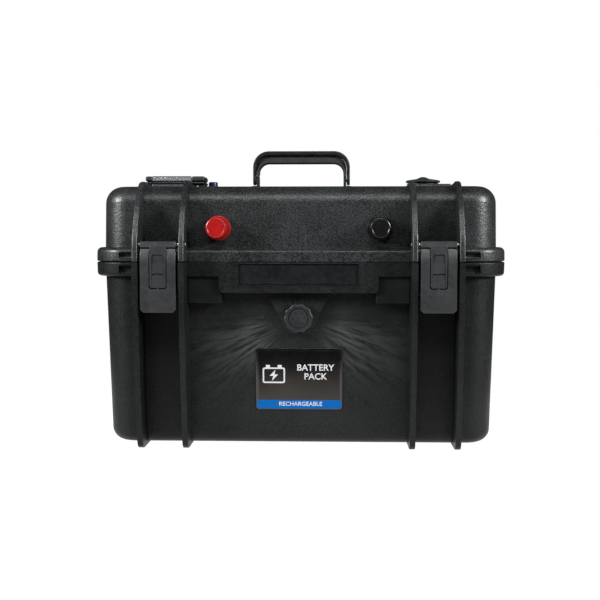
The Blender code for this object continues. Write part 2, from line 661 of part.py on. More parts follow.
# ---- front of the base ---------------------------------------------------
def build_valve():
    """The purge valve: a bush through the wall, and the scalloped knob that turns in it."""
    centre = (0, 0, VALVE_Z)
    flange = turned(mm((4.5, -81.3), (11, -81.3), (11, -82.5), (4.5, -82.5)), centre, 1, 20)
    bush = add("valve_bush", flange, "black_gloss", at=(0, -81 * MM, VALVE_Z))
    fuse(bush, turned(mm((4.5, -66), (8, -66), (8, -82), (4.5, -82)), centre, 1, 20))
    settle(bush)
    rim, lobes, per_lobe, dip = [], 10, 4, 1.1 * MM
    for i in range(lobes * per_lobe):
        radius = VALVE_R - dip * (0.5 - 0.5 * math.cos(math.tau * i / per_lobe))
        angle = math.tau * (i + 0.5) / (lobes * per_lobe)
        rim.append((radius * math.cos(angle), VALVE_Z + radius * math.sin(angle)))
    head = add("valve_knob", prism(rim, 1, -91.5 * MM, -83 * MM), "case_plastic", at=(0, -83 * MM, VALVE_Z))
    fuse(head, rod(4.1 * MM, centre, 1, -84 * MM, -70 * MM, 16))
    cut(head, rod(10.5 * MM, centre, 1, -92 * MM, -90.5 * MM, 24))
    settle(head)


def build_plate_and_label():
    """The blank plate in the band's recess, and the label on the leaning wall below it."""
    plate = block((-62 * MM, -91 * MM, 175 * MM), (62 * MM, PLATE_SEAT_Y - 0.4 * MM, 196 * MM))
    add("front_name_plate", plate, "label", at=(0, -90 * MM, 185 * MM))
    z_low, z_high, thick = 39.4 * MM, 106.5 * MM, 1.6 * MM
    wall = BODY_Y - HALF_Y - 0.4 * MM
    low_y, high_y = wall + wall_inset(z_low), wall + wall_inset(z_high)
    side = [(low_y, z_low), (low_y - thick, z_low), (high_y - thick, z_high), (high_y, z_high)]
    label = add("rating_label", prism(side, 0, -46.4 * MM, 46.4 * MM), "label", at=(0, low_y, 73 * MM))
    bevel(label, 0.5 * MM)
    settle(label)


# ---- battery stack -------------------------------------------------------
def cell_x(index):
    return (index - (CELLS - 1) / 2) * CELL_PITCH


def build_cells():
    """Eight prismatic cells in series; each turned round so that the posts alternate."""
    half_x, half_y, tall = CELL_SIZE[0] / 2, CELL_SIZE[1] / 2, CELL_SIZE[2]
    first = add("cell_1", block((-half_x, -half_y, 0), (half_x, half_y, tall)), "cell_blue")
    bevel(first, 2 * MM)
    settle(first)
    for side in (-1, 1):
        fuse(first, rod(POST_R, (0, side * POST_Y, 0), 2, tall - 1 * MM, tall + POST_TALL, 12))
    fuse(first, rod(5 * MM, (0, 0, 0), 2, tall - 1 * MM, tall + 0.6 * MM, 8))
    settle(first)
    first.location = (cell_x(0), BODY_Y, CELL_Z)
    for index in range(1, CELLS):
        copy = bpy.data.objects.new(f"cell_{index + 1}", first.data)
        copy.location = (cell_x(index), BODY_Y, CELL_Z)
        copy.rotation_euler.z = math.pi * (index % 2)
        bpy.context.scene.collection.objects.link(copy)


def build_busbars():
    """Series links between neighbouring posts, on the front and rear rows in turn."""
    low = CELL_Z + CELL_SIZE[2] + POST_TALL + GAP
    for index in range(CELLS - 1):
        middle = (cell_x(index) + cell_x(index + 1)) / 2
        y = BODY_Y + POST_Y * (-1 if index % 2 == 0 else 1)
        half = CELL_PITCH / 2
        outline = arc((middle + half, y), 8 * MM, -90, 90, 4) + arc((middle - half, y), 8 * MM, 90, 270, 4)
        add(f"busbar_{index + 1}", prism(outline, 2, low, low + 2 * MM), "copper", at=(middle, y, low))


def build_frame():
    """The end plates and straps that hold the stack together, and the foam under it."""
    edge = cell_x(CELLS - 1) + CELL_SIZE[0] / 2 + GAP
    half_y, top = CELL_SIZE[1] / 2, CELL_Z + CELL_SIZE[2]
    for label, side in (("left", -1), ("right", 1)):
        low, high = sorted((side * edge, side * (edge + END_PLATE)))
        plate = block((low, BODY_Y - half_y, CELL_Z), (high, BODY_Y + half_y, top - 4 * MM))
        bevel(add(f"end_plate_{label}", plate, "aluminium", at=(side * edge, BODY_Y, CELL_Z)), 1 * MM)
    out = edge + END_PLATE + GAP
    for label, z in (("lower", 60 * MM), ("upper", 150 * MM)):
        ring = [(out, half_y + GAP), (out + 0.8 * MM, half_y + 1.1 * MM)]
        rings = []
        for (hx, hy), height in ((ring[0], z), (ring[1], z), (ring[1], z + 16 * MM), (ring[0], z + 16 * MM)):
            rings.append(rounded(hx, hy, 0.2 * MM, height, 1))
        add(f"pack_strap_{label}", loft(rings, closed=True), "steel", at=(0, BODY_Y, z))
    half_x, half_y = 178 * MM, 59 * MM
    foam = block((-half_x, BODY_Y - half_y, BASE_Z + WALL + GAP), (half_x, BODY_Y + half_y, CELL_Z - GAP))
    bevel(add("floor_foam", foam, "foam", at=(0, BODY_Y, CELL_Z)), 1 * MM)


def build_electronics():
    """The management board on its edge beside the cells, and the finned heat sink on its outer face."""
    x, half, sink_half = 163 * MM, 50 * MM, 46 * MM
    board = block((x, BODY_Y - half, 40 * MM), (x + 1.6 * MM, BODY_Y + half, 150 * MM))
    add("bms_board", board, "board_green", at=(x, BODY_Y, 95 * MM))
    back, root, tip = x + 1.9 * MM, x + 6 * MM, x + 16 * MM
    pitch, thick, count = 11 * MM, 4 * MM, 8
    fins = [(back, BODY_Y - sink_half), (root, BODY_Y - sink_half)]
    for i in range(count):
        start = BODY_Y - sink_half + i * pitch + 3 * MM
        fins += [(root, start), (tip, start), (tip, start + thick), (root, start + thick)]
    fins += [(root, BODY_Y + sink_half), (back, BODY_Y + sink_half)]
    add("bms_heat_sink", prism(fins, 2, 46 * MM, 144 * MM), "aluminium", at=(x, BODY_Y, 95 * MM))


def smooth_route(points, count):
    """Catmull-Rom curve through the route's points, read at count places."""
    padded = [points[0]] + list(points) + [points[-1]]
    spans = len(points) - 1
    read = []
    for i in range(count):
        place = i * spans / (count - 1)
        span = min(int(place), spans - 1)
        t = place - span
        a, b, c, d = (Vector(p) for p in padded[span:span + 4])
        square, cube = 2 * a - 5 * b + 4 * c - d, 3 * b - a - 3 * c + d
        read.append(0.5 * (2 * b + (c - a) * t + square * t * t + cube * t ** 3))
    return read


def cable(name, route, radius, count, finish):
    """A round cable along a route in millimetres, with count rings of points."""
    curve = bpy.data.curves.new(name, "CURVE")
    curve.dimensions = "3D"
    curve.bevel_depth = radius
    curve.bevel_resolution = 2
    curve.use_fill_caps = True
    spline = curve.splines.new("POLY")
    points = smooth_route([tuple(v * MM for v in p) for p in route], count)
    spline.points.add(len(points) - 1)
    for target, co in zip(spline.points, points):
        target.co = (*co, 1.0)
    curve.materials.append(material(finish))
    bpy.context.scene.collection.objects.link(bpy.data.objects.new(name, curve))


def build_cables():
    """The main leads rise at the rear wall, beside the hinge, and run under the lid's roof to their studs."""
    start = -129.5
    positive = [(start, 53, 216), (start, 66, 222), (-122, 79, 226), (-112, 82, 240), (-104, 76, 256)]
    positive += [(-98, 50, 264), (-94, 10, 265), (-88, -22, 256), (-85.5, -36, 240), (-85, -48, 234)]
    cable("positive_lead", positive, 3.5 * MM, 34, "red_plastic")
    negative = [(171, 20, 152), (171, 40, 180), (168, 66, 205), (155, 79, 222), (140, 82, 240)]
    negative += [(125, 76, 256), (112, 50, 264), (100, 10, 265), (89, -22, 256), (85.5, -36, 240)]
    negative += [(85, -48, 234)]
    cable("negative_lead", negative, 3.5 * MM, 40, "black_gloss")
    link = [(129.5, 53, 216), (140, 50, 222), (156, 36, 216), (164.5, 12, 190)]
    link += [(166.5, 4, 162), (167, 0, 152)]
    cable("bms_lead", link, 3.5 * MM, 24, "black_gloss")


def main():
    clear_scene()
    build_base_shell()
    build_lid_shell()
    build_seal()
    build_hinge_pins()
    for label, side in (("left", -1), ("right", 1)):
        build_link(label, side * PAIR_X)
        build_lever(label, side * PAIR_X)
    build_handle()
    build_brackets()
    build_terminal("positive", -TERMINAL_X, "red_plastic")
    build_terminal("negative", TERMINAL_X, "black_gloss")
    build_meter()
    build_meter_cover()
    build_switch()
    build_socket()
    build_valve()
    build_plate_and_label()
    build_cells()
    build_busbars()
    build_frame()
    build_electronics()
    build_cables()


main()
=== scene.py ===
"""Looks of a portable battery pack in a black, ribbed, latched hard case.

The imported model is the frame: every piece here is built in its place in that
frame, in metres, with the front of the case towards -Y, and rides on one of
its bodies.
"""

import json
import logging
import math
from contextlib import contextmanager
from dataclasses import dataclass, field
from enum import Enum
from typing import Any, Callable, Iterator, Sequence

import bpy
from mathutils import Matrix, Vector
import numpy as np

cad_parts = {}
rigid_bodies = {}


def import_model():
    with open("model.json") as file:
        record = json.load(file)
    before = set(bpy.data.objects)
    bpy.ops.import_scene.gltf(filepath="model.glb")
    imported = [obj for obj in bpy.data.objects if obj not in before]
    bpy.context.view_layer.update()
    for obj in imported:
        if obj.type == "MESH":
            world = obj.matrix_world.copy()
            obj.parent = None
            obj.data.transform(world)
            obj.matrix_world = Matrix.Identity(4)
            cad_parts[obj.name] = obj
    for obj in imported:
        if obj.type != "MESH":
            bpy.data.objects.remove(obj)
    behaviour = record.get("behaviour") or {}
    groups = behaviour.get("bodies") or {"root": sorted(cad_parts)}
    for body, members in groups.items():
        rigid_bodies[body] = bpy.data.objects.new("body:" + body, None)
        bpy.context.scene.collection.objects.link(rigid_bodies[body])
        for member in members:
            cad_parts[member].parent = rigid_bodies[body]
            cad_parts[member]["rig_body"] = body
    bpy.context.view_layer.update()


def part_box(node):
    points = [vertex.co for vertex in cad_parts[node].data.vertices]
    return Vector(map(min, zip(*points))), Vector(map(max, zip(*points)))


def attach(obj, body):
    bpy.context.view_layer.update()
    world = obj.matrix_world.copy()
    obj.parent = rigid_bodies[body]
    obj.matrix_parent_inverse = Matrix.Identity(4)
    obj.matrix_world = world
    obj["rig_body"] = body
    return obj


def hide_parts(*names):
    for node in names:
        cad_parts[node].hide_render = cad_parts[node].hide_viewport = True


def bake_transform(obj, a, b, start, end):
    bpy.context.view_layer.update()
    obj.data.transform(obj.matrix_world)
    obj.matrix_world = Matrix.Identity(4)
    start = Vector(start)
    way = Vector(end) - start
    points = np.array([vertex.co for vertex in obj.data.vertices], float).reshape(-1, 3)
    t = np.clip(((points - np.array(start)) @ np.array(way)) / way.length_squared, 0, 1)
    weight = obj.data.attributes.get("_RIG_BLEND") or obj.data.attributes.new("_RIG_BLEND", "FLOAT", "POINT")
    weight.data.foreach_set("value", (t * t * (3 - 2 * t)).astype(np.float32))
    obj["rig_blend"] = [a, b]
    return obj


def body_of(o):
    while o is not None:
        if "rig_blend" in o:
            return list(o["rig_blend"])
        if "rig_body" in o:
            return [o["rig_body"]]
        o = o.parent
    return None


LOG = logging.getLogger("battery_pack")

MM = 0.001
TOUCH = 0.002 * MM  # points closer than this are one
NEAR = 0.1 * MM  # how closely an edge or face is looked for
UP = (0.0, 0.0, 1.0)
FULL = (0.0, 1.0)

MIDDLE_Y = 8 * MM
VALVE_Z = 139.5 * MM
TERMINAL_X = 85 * MM
TERMINAL_Z = 234 * MM

Flat = tuple[float, float]
Place = tuple[float, float, float]
Test = Callable[[Vector, Vector], bool]
Piece = bpy.types.Object


class Axis(Enum):
    """One of the frame's three directions."""

    X = 0
    Y = 1
    Z = 2


class Kind(Enum):
    """What an edit-mode selection is made of."""

    VERT = 0
    EDGE = 1
    FACE = 2


class Side(Enum):
    """Left or right, as the front of the case is faced."""

    LEFT = -1
    RIGHT = 1

    @property
    def label(self) -> str:
        """The side's word in node names."""
        return self.name.lower()

    def span(self, near: float, far: float) -> Flat:
        """Two distances from the middle plane, as places on this side in rising order."""
        low, high = sorted((self.value * near, self.value * far))
        return low, high


# ---- workshop: selecting and editing ----


def calm() -> None:
    """Goes back to object mode with nothing selected."""
    if bpy.context.mode != "OBJECT":
        bpy.ops.object.mode_set(mode="OBJECT")
    bpy.ops.object.select_all(action="DESELECT")


def pick(*pieces: Piece) -> None:
    """Selects these pieces alone, the first one active.

    Args:
        pieces: What to select.
    """
    calm()
    for piece in pieces:
        piece.select_set(True)
    bpy.context.view_layer.objects.active = pieces[0]


def choose(piece: Piece, kind: Kind, test: Test) -> int:
    """Marks the parts of a mesh that pass a test, before edit mode is opened.

    Args:
        piece: The mesh object.
        kind: Vertices, edges or faces.
        test: Takes the middle of an element and its direction, which is the normal of a
            vertex or face and the unit direction of an edge.

    Returns:
        How many elements passed.
    """
    mesh = piece.data
    for group in (mesh.vertices, mesh.edges, mesh.polygons):
        group.foreach_set("select", [False] * len(group))
    bpy.context.tool_settings.mesh_select_mode = tuple(kind is k for k in Kind)
    found = 0
    if kind is Kind.VERT:
        for vert in mesh.vertices:
            vert.select = test(vert.co, vert.normal)
            found += vert.select
    elif kind is Kind.EDGE:
        for edge in mesh.edges:
            one, two = (mesh.vertices[i] for i in edge.vertices)
            if test((one.co + two.co) / 2, (two.co - one.co).normalized()):
                edge.select = one.select = two.select = True
                found += 1
    else:
        for face in mesh.polygons:
            if test(face.center, face.normal):
                face.select = True
                found += 1
                for loop in face.loop_indices:
                    corner = mesh.loops[loop]
                    mesh.vertices[corner.vertex_index].select = True
                    mesh.edges[corner.edge_index].select = True
    return found


def anywhere(_middle: Vector, _direction: Vector) -> bool:
    """A test that everything passes."""
    return True


@contextmanager
def editing(piece: Piece, kind: Kind = Kind.FACE, test: Test = anywhere) -> Iterator[int]:
    """Edit mode on one piece, with what passes the test selected.

    Args:
        piece: The mesh object.
        kind: Vertices, edges or faces.
        test: See choose.

    Yields:
        How many elements are selected.
    """
    pick(piece)
    found = choose(piece, kind, test)
    bpy.ops.object.mode_set(mode="EDIT")
    yield found
    bpy.ops.object.mode_set(mode="OBJECT")


def take(piece: Piece, kind: str, **settings: Any) -> None:
    """Puts one modifier on a piece and applies it.

    Args:
        piece: The mesh object.
        kind: The modifier's type.
        settings: Its properties.
    """
    modifier = piece.modifiers.new(kind.lower(), kind)
    for name, value in settings.items():
        setattr(modifier, name, value)
    pick(piece)
    bpy.ops.object.modifier_apply(modifier=modifier.name)


def bake_place(piece: Piece, matrix: Matrix | None = None) -> Piece:
    """Moves a piece by a matrix and puts its whole place into its mesh.

    Args:
        piece: The object.
        matrix: The move, if any.

    Returns:
        The piece.
    """
    if matrix is not None:
        piece.matrix_world = matrix @ piece.matrix_world
    pick(piece)
    bpy.ops.object.transform_apply(location=True, rotation=True, scale=True)
    return piece


def tidy_mesh(piece: Piece) -> None:
    """Merges doubled points and turns every face outwards."""
    with editing(piece, Kind.VERT):
        bpy.ops.mesh.remove_doubles(threshold=TOUCH)
        bpy.ops.mesh.normals_make_consistent(inside=False)


# ---- workshop: starting shapes ----


def block(name: str, low: Place, high: Place, soft: float = 0.0, steps: int = 3) -> Piece:
    """A box between two corners, with all its edges rounded if soft is given.

    Args:
        name: The object's name.
        low: Lowest corner, in metres.
        high: Highest corner.
        soft: Radius of the edges.
        steps: Segments across each rounded edge.

    Returns:
        The object.
    """
    calm()
    near = Vector(min(a, b) for a, b in zip(low, high))
    far = Vector(max(a, b) for a, b in zip(low, high))
    bpy.ops.mesh.primitive_cube_add(size=1.0, location=(near + far) / 2)
    piece = bpy.context.object
    piece.name = name
    piece.scale = far - near
    bake_place(piece)
    if soft:
        take(piece, "BEVEL", width=soft, segments=steps, limit_method="NONE")
    return piece


def prism(name: str, outline: Sequence[Flat], axis: Axis, low: float, high: float) -> Piece:
    """A flat outline extruded along an axis.

    Args:
        name: The object's name.
        outline: Corners in turn, on the other two axes in their order.
        axis: The direction of the extrusion.
        low: Where it starts on that axis.
        high: Where it ends.

    Returns:
        The object.
    """
    calm()
    bpy.ops.mesh.primitive_circle_add(vertices=len(outline), fill_type="NGON")
    piece = bpy.context.object
    piece.name = name
    others = [k for k in range(3) if k != axis.value]
    for vert, (a, b) in zip(piece.data.vertices, outline):
        vert.co[axis.value] = low
        vert.co[others[0]] = a
        vert.co[others[1]] = b
    piece.data.update()
    step = [0.0, 0.0, 0.0]
    step[axis.value] = high - low
    with editing(piece):
        bpy.ops.mesh.extrude_region_move(TRANSFORM_OT_translate={"value": step})
        bpy.ops.mesh.select_all(action="SELECT")
        bpy.ops.mesh.normals_make_consistent(inside=False)
    return piece


def lathe(name: str, profile: Sequence[Flat], centre: Place, axis: Axis, steps: int = 48) -> Piece:
    """A profile turned about an axis.

    Args:
        name: The object's name.
        profile: Closed run of (radius, place along the axis) pairs.
        centre: A point on the axis, from which the places are measured.
        axis: The axis it turns about.
        steps: Segments of the turn.

    Returns:
        The object.
    """
    calm()
    bpy.ops.mesh.primitive_circle_add(vertices=len(profile), fill_type="NOTHING")
    piece = bpy.context.object
    piece.name = name
    other = (axis.value + 1) % 3
    for vert, (radius, along) in zip(piece.data.vertices, profile):
        co = Vector(centre)
        co[axis.value] += along
        co[other] += radius
        vert.co = co
    piece.data.update()

    def on_axis(middle: Vector, direction: Vector) -> bool:
        """An edge that lies on the axis itself."""
        return abs(middle[other] - centre[other]) < 0.001 * MM and abs(direction[axis.value]) > 0.99

    with editing(piece, Kind.EDGE, on_axis) as found:
        if found:
            bpy.ops.mesh.delete(type="EDGE")
    turn = [0.0, 0.0, 0.0]
    turn[axis.value] = 1.0
    with editing(piece, Kind.EDGE):
        bpy.ops.mesh.spin(steps=steps, angle=math.tau, center=centre, axis=turn)
    tidy_mesh(piece)
    return piece


def rod(name: str, centre: Place, axis: Axis, radius: float, low: float, high: float, soft: float = 0.0,
        sides: int = 32) -> Piece:
    """A straight round bar along an axis, from low to high on it, with softened ends.

    Args:
        name: The object's name.
        centre: A point that fixes the bar's other two places.
        axis: Its direction.
        radius: Its radius.
        low: Where it starts.
        high: Where it ends.
        soft: Chamfer at both ends.
        sides: Segments round it.

    Returns:
        The object.
    """
    base = list(centre)
    base[axis.value] = 0.0
    profile = [(0.0, low), (radius, low), (radius, high), (0.0, high)]
    if soft:
        profile = [(0.0, low), (radius - soft, low), (radius, low + soft)]
        profile += [(radius, high - soft), (radius - soft, high), (0.0, high)]
    return lathe(name, profile, tuple(base), axis, sides)


def wire(name: str, route: Sequence[Place], radius: float, closed: bool = False, smooth: int = 6) -> Piece:
    """A round wire along a smooth route, as a mesh.

    Args:
        name: The object's name.
        route: Points that it passes through.
        radius: Its radius.
        closed: True for a loop.
        smooth: Steps between two points of the route.

    Returns:
        The object.
    """
    calm()
    bpy.ops.curve.primitive_bezier_curve_add()
    piece = bpy.context.object
    piece.name = name
    curve = piece.data
    curve.splines.clear()
    curve.bevel_depth = radius
    curve.bevel_resolution = 4
    curve.use_fill_caps = not closed
    spline = curve.splines.new("POLY")
    points = through(route, smooth)
    spline.points.add(len(points) - 1)
    for target, co in zip(spline.points, points):
        target.co = (*co, 1.0)
    spline.use_cyclic_u = closed
    pick(piece)
    bpy.ops.object.convert(target="MESH")
    piece = bpy.context.object
    bake_place(piece)
    tidy_mesh(piece)
    return piece


def lettering(name: str, words: str, tall: float, thick: float, heavy: float = 0.0) -> Piece:
    """Flat raised words about the origin, on the XY plane and facing +Z.

    Args:
        name: The object's name.
        words: What is written.
        tall: Height of the type.
        thick: How far the words stand up.
        heavy: How much each stroke is widened.

    Returns:
        The object.
    """
    calm()
    bpy.ops.object.text_add()
    piece = bpy.context.object
    piece.name = name
    text = piece.data
    text.body = words
    text.size = tall
    text.align_x = "CENTER"
    text.align_y = "CENTER"
    text.extrude = thick / 2
    text.offset = heavy
    text.resolution_u = 4
    pick(piece)
    bpy.ops.object.convert(target="MESH")
    piece = bpy.context.object
    bake_place(piece, Matrix.Translation((0.0, 0.0, thick / 2)))
    tidy_mesh(piece)
    return piece


# ---- workshop: outlines ----


def through(points: Sequence[Sequence[float]], steps: int) -> list[tuple[float, ...]]:
    """A smooth run of points through the given ones.

    Args:
        points: The points to pass through, flat or in space.
        steps: How many steps between two of them.

    Returns:
        The points of the curve, both ends included.
    """
    known = [Vector(p) for p in points]
    known = [known[0], *known, known[-1]]
    read = []
    for i in range(len(points) - 1):
        a, b, c, d = known[i:i + 4]
        for step in range(steps):
            t = step / steps
            read.append(tuple(0.5 * (2 * b + (c - a) * t + (2 * a - 5 * b + 4 * c - d) * t ** 2
                + (3 * b - a - 3 * c + d) * t ** 3)))
    read.append(tuple(points[-1]))
    return read


def arc(centre: Flat, radius: float, start: float, end: float, steps: int) -> list[Flat]:
    """Points of an arc, in degrees from the first axis."""
    angles = [math.radians(start + (end - start) * i / steps) for i in range(steps + 1)]
    return [(centre[0] + radius * math.cos(t), centre[1] + radius * math.sin(t)) for t in angles]


def rounded_rectangle(low: Flat, high: Flat, radius: float, steps: int = 6) -> list[Flat]:
    """The outline of a rectangle with round corners, anticlockwise from its right side."""
    (x0, y0), (x1, y1) = low, high
    points = arc((x1 - radius, y1 - radius), radius, 0, 90, steps)
    points += arc((x0 + radius, y1 - radius), radius, 90, 180, steps)
    points += arc((x0 + radius, y0 + radius), radius, 180, 270, steps)
    points += arc((x1 - radius, y0 + radius), radius, 270, 360, steps)
    return points


def round_window(half: float, low: float, high: float, radius: float, steps: int = 6) -> list[Flat]:
    """A round-cornered rectangle across the middle plane, its sizes in millimetres."""
    return rounded_rectangle((-half * MM, low * MM), (half * MM, high * MM), radius * MM, steps)


def ring(count: int, radius: float) -> list[Flat]:
    """Places spaced evenly round the origin."""
    turns = [math.tau * i / count for i in range(count)]
    return [(radius * math.cos(turn), radius * math.sin(turn)) for turn in turns]


def mm(*pairs: Flat) -> list[Flat]:
    """Pairs given in millimetres, in metres."""
    return [(a * MM, b * MM) for a, b in pairs]


# ---- workshop: rounding, joining and copying ----


def soften(piece: Piece, width: float, steps: int = 3, angle: float = 40.0) -> Piece:
    """Rounds every edge of a piece that is sharper than an angle.

    Args:
        piece: The mesh object.
        width: Radius of the rounding.
        steps: Segments across it.
        angle: The angle in degrees.

    Returns:
        The piece.
    """
    take(piece, "BEVEL", width=width, segments=steps, limit_method="ANGLE", angle_limit=math.radians(angle),
        harden_normals=False)
    return piece


def soften_where(piece: Piece, test: Test, width: float, steps: int) -> Piece:
    """Rounds the edges that pass a test.

    Args:
        piece: The mesh object.
        test: Takes an edge's middle and its direction.
        width: Radius of the rounding.
        steps: Segments across it.

    Returns:
        The piece.
    """
    with editing(piece, Kind.EDGE, test) as found:
        if found:
            bpy.ops.mesh.bevel(offset=width, segments=steps, affect="EDGES", clamp_overlap=True)
    return piece


def gather(*pieces: Piece, name: str = "") -> Piece:
    """Joins pieces that don't touch into the first one, and renames it if a name is given."""
    pick(*pieces)
    if len(pieces) > 1:
        bpy.ops.object.join()
    if name:
        pieces[0].name = name
    return pieces[0]


def boolean(piece: Piece, other: Piece, operation: str) -> None:
    """Applies one Boolean and removes the other object."""
    take(piece, "BOOLEAN", object=other, operation=operation, solver="EXACT")
    discard(other)


def fuse(piece: Piece, *others: Piece) -> Piece:
    """Makes one body of a piece and others, which mayn't cut each other."""
    boolean(piece, gather(*others), "UNION")
    return piece


def carve(piece: Piece, *cutters: Piece) -> Piece:
    """Cuts bodies, which mayn't cut each other, out of a piece."""
    boolean(piece, gather(*cutters), "DIFFERENCE")
    return piece


def again(piece: Piece, name: str, matrix: Matrix) -> Piece:
    """A copy of a piece with its own mesh, moved by a matrix.

    Args:
        piece: What is copied.
        name: The copy's name.
        matrix: The move. A mirroring one turns the faces back outwards.

    Returns:
        The copy.
    """
    pick(piece)
    bpy.ops.object.duplicate(linked=False)
    copy = bpy.context.object
    copy.name = name
    bake_place(copy, matrix)
    if matrix.determinant() < 0:
        tidy_mesh(copy)
    return copy


def shifted(piece: Piece, name: str, move: Place) -> Piece:
    """A copy of a piece with its own mesh, moved along."""
    return again(piece, name, Matrix.Translation(move))


def discard(*pieces: Piece) -> None:
    """Removes pieces that were only models for copies or cutters."""
    for piece in pieces:
        bpy.data.objects.remove(piece, do_unlink=True)


# ---- finishes ----


class Recipe:
    """A material in the making, with short methods for the nodes that the finishes share."""

    def __init__(self, name: str) -> None:
        """Starts a material with one Principled shader and object coordinates."""
        self.material = bpy.data.materials.new(name)
        self.material.use_nodes = True
        self.nodes = self.material.node_tree.nodes
        self.links = self.material.node_tree.links
        self.shader = self.nodes["Principled BSDF"]
        self.place = self.nodes.new("ShaderNodeTexCoord").outputs["Object"]

    def feed(self, socket: Any, value: Any) -> None:
        """Links a socket into another, or sets a number or colour on it."""
        if isinstance(value, bpy.types.NodeSocket):
            self.links.new(value, socket)
        elif isinstance(value, tuple) and len(value) == 3 and len(socket.default_value) == 4:
            socket.default_value = (*value, 1.0)
        else:
            socket.default_value = value

    def surface(self, **constants: Any) -> None:
        """Sets the shader's own sockets. An underscore stands for a space in a socket's name."""
        for name, value in constants.items():
            self.feed(self.shader.inputs[name.replace("_", " ")], value)

    def stretched(self, scale: Place, turn: Place = (0.0, 0.0, 0.0), origin: Place = (0.0, 0.0, 0.0)) -> Any:
        """Object coordinates about an origin, turned and scaled."""
        node = self.nodes.new("ShaderNodeMapping")
        node.vector_type = "TEXTURE"
        node.inputs["Location"].default_value = origin
        node.inputs["Rotation"].default_value = turn
        node.inputs["Scale"].default_value = tuple(1.0 / s for s in scale)
        self.links.new(self.place, node.inputs["Vector"])
        return node.outputs["Vector"]

    def noise(self, size: float, detail: float = 2.0, rough: float = 0.5, vector: Any = None) -> Any:
        """Noise with features of about this size in metres."""
        node = self.nodes.new("ShaderNodeTexNoise")
        node.inputs["Scale"].default_value = 1.0 / size
        node.inputs["Detail"].default_value = detail
        node.inputs["Roughness"].default_value = rough
        self.links.new(vector or self.place, node.inputs["Vector"])
        return node.outputs["Fac"]

    def cells(self, size: float, smooth: float = 0.6) -> Any:
        """Rounded cells of about this size in metres, as distance from their middles."""
        node = self.nodes.new("ShaderNodeTexVoronoi")
        node.feature = "SMOOTH_F1"
        node.inputs["Scale"].default_value = 1.0 / size
        node.inputs["Smoothness"].default_value = smooth
        self.links.new(self.place, node.inputs["Vector"])
        return node.outputs["Distance"]

    def arith(self, operation: str, one: Any, two: Any = 0.0) -> Any:
        """One Math node."""
        node = self.nodes.new("ShaderNodeMath")
        node.operation = operation
        self.feed(node.inputs[0], one)
        self.feed(node.inputs[1], two)
        return node.outputs["Value"]

    def times(self, one: Any, two: Any) -> Any:
        """One value times another."""
        return self.arith("MULTIPLY", one, two)

    def swing(self, value: Any, much: Any) -> Any:
        """A value between 0 and 1, turned to swing about zero by an amount."""
        return self.times(self.arith("SUBTRACT", value, 0.5), much)

    def along(self) -> tuple[Any, Any, Any]:
        """The place on each of the three axes."""
        split = self.nodes.new("ShaderNodeSeparateXYZ")
        self.links.new(self.place, split.inputs["Vector"])
        return tuple(split.outputs[name] for name in "XYZ")

    def remap(self, value: Any, span: Flat, out: Flat = FULL) -> Any:
        """Takes one span of a value to another, smoothly and clamped."""
        node = self.nodes.new("ShaderNodeMapRange")
        node.interpolation_type = "SMOOTHSTEP"
        self.feed(node.inputs["Value"], value)
        for name, number in zip(("From Min", "From Max", "To Min", "To Max"), (*span, *out)):
            node.inputs[name].default_value = number
        return node.outputs["Result"]

    def blend(self, factor: Any, one: Any, two: Any) -> Any:
        """A mix of two colours."""
        node = self.nodes.new("ShaderNodeMix")
        node.data_type = "RGBA"
        self.feed(node.inputs[0], factor)
        self.feed(node.inputs[6], one)
        self.feed(node.inputs[7], two)
        return node.outputs[2]

    def relief(self, height: Any, depth: float, under: Any = None) -> Any:
        """A Bump node of a real depth in metres, on top of another one if given."""
        node = self.nodes.new("ShaderNodeBump")
        node.inputs["Strength"].default_value = 1.0
        node.inputs["Distance"].default_value = depth
        self.links.new(height, node.inputs["Height"])
        if under is not None:
            self.links.new(under, node.inputs["Normal"])
        return node.outputs["Normal"]


@dataclass(frozen=True)
class Finish:
    """A surface with mottled colour, uneven gloss and a fine grain.

    Attributes:
        name: The material's name.
        colour: Main colour, linear.
        shade: The colour it drifts to.
        gloss: Mean roughness.
        drift: How far the roughness wanders.
        grain: Size of the grain, in metres.
        depth: Height of the grain, in metres.
        mottle: Size of the colour drift, in metres.
        metal: 1 for bare metal.
        coat: Weight of a clear coat.
        shine: Specular level, 0.5 for plain smooth plastic.
    """

    name: str
    colour: Place
    shade: Place
    gloss: float = 0.5
    drift: float = 0.08
    grain: float = 0.8 * MM
    depth: float = 0.01 * MM
    mottle: float = 30 * MM
    metal: float = 0.0
    coat: float = 0.0
    shine: float = 0.5

    def build(self) -> bpy.types.Material:
        """The material, made once."""
        found = bpy.data.materials.get(self.name)
        if found:
            return found
        recipe = Recipe(self.name)
        self.mix(recipe)
        return recipe.material

    def tint(self, recipe: Recipe, value: Any, span: Flat = (0.35, 0.65), ends: Flat = FULL) -> Any:
        """The main colour where a value is low in a span, drifting to the shade where it is high."""
        return recipe.blend(recipe.remap(value, span, ends), self.colour, self.shade)

    def uneven(self, recipe: Recipe, value: Any) -> Any:
        """Roughness that wanders about its mean with a value."""
        return recipe.remap(value, (0.3, 0.7), (self.gloss - self.drift, self.gloss + self.drift))

    def mix(self, recipe: Recipe) -> None:
        """Colour, roughness and bump of this finish.

        Args:
            recipe: The material in the making.
        """
        cloud = recipe.noise(self.mottle, 4.0, 0.6)
        smear = recipe.noise(self.mottle * 0.22, 5.0, 0.65)
        grain = recipe.noise(self.grain, 2.0)
        recipe.surface(
            Base_Color=self.tint(recipe, cloud),
            Roughness=self.uneven(recipe, smear),
            Normal=recipe.relief(grain, self.depth),
            Metallic=self.metal,
            Coat_Weight=self.coat,
            Coat_Roughness=0.06,
            Specular_IOR_Level=self.shine,
        )


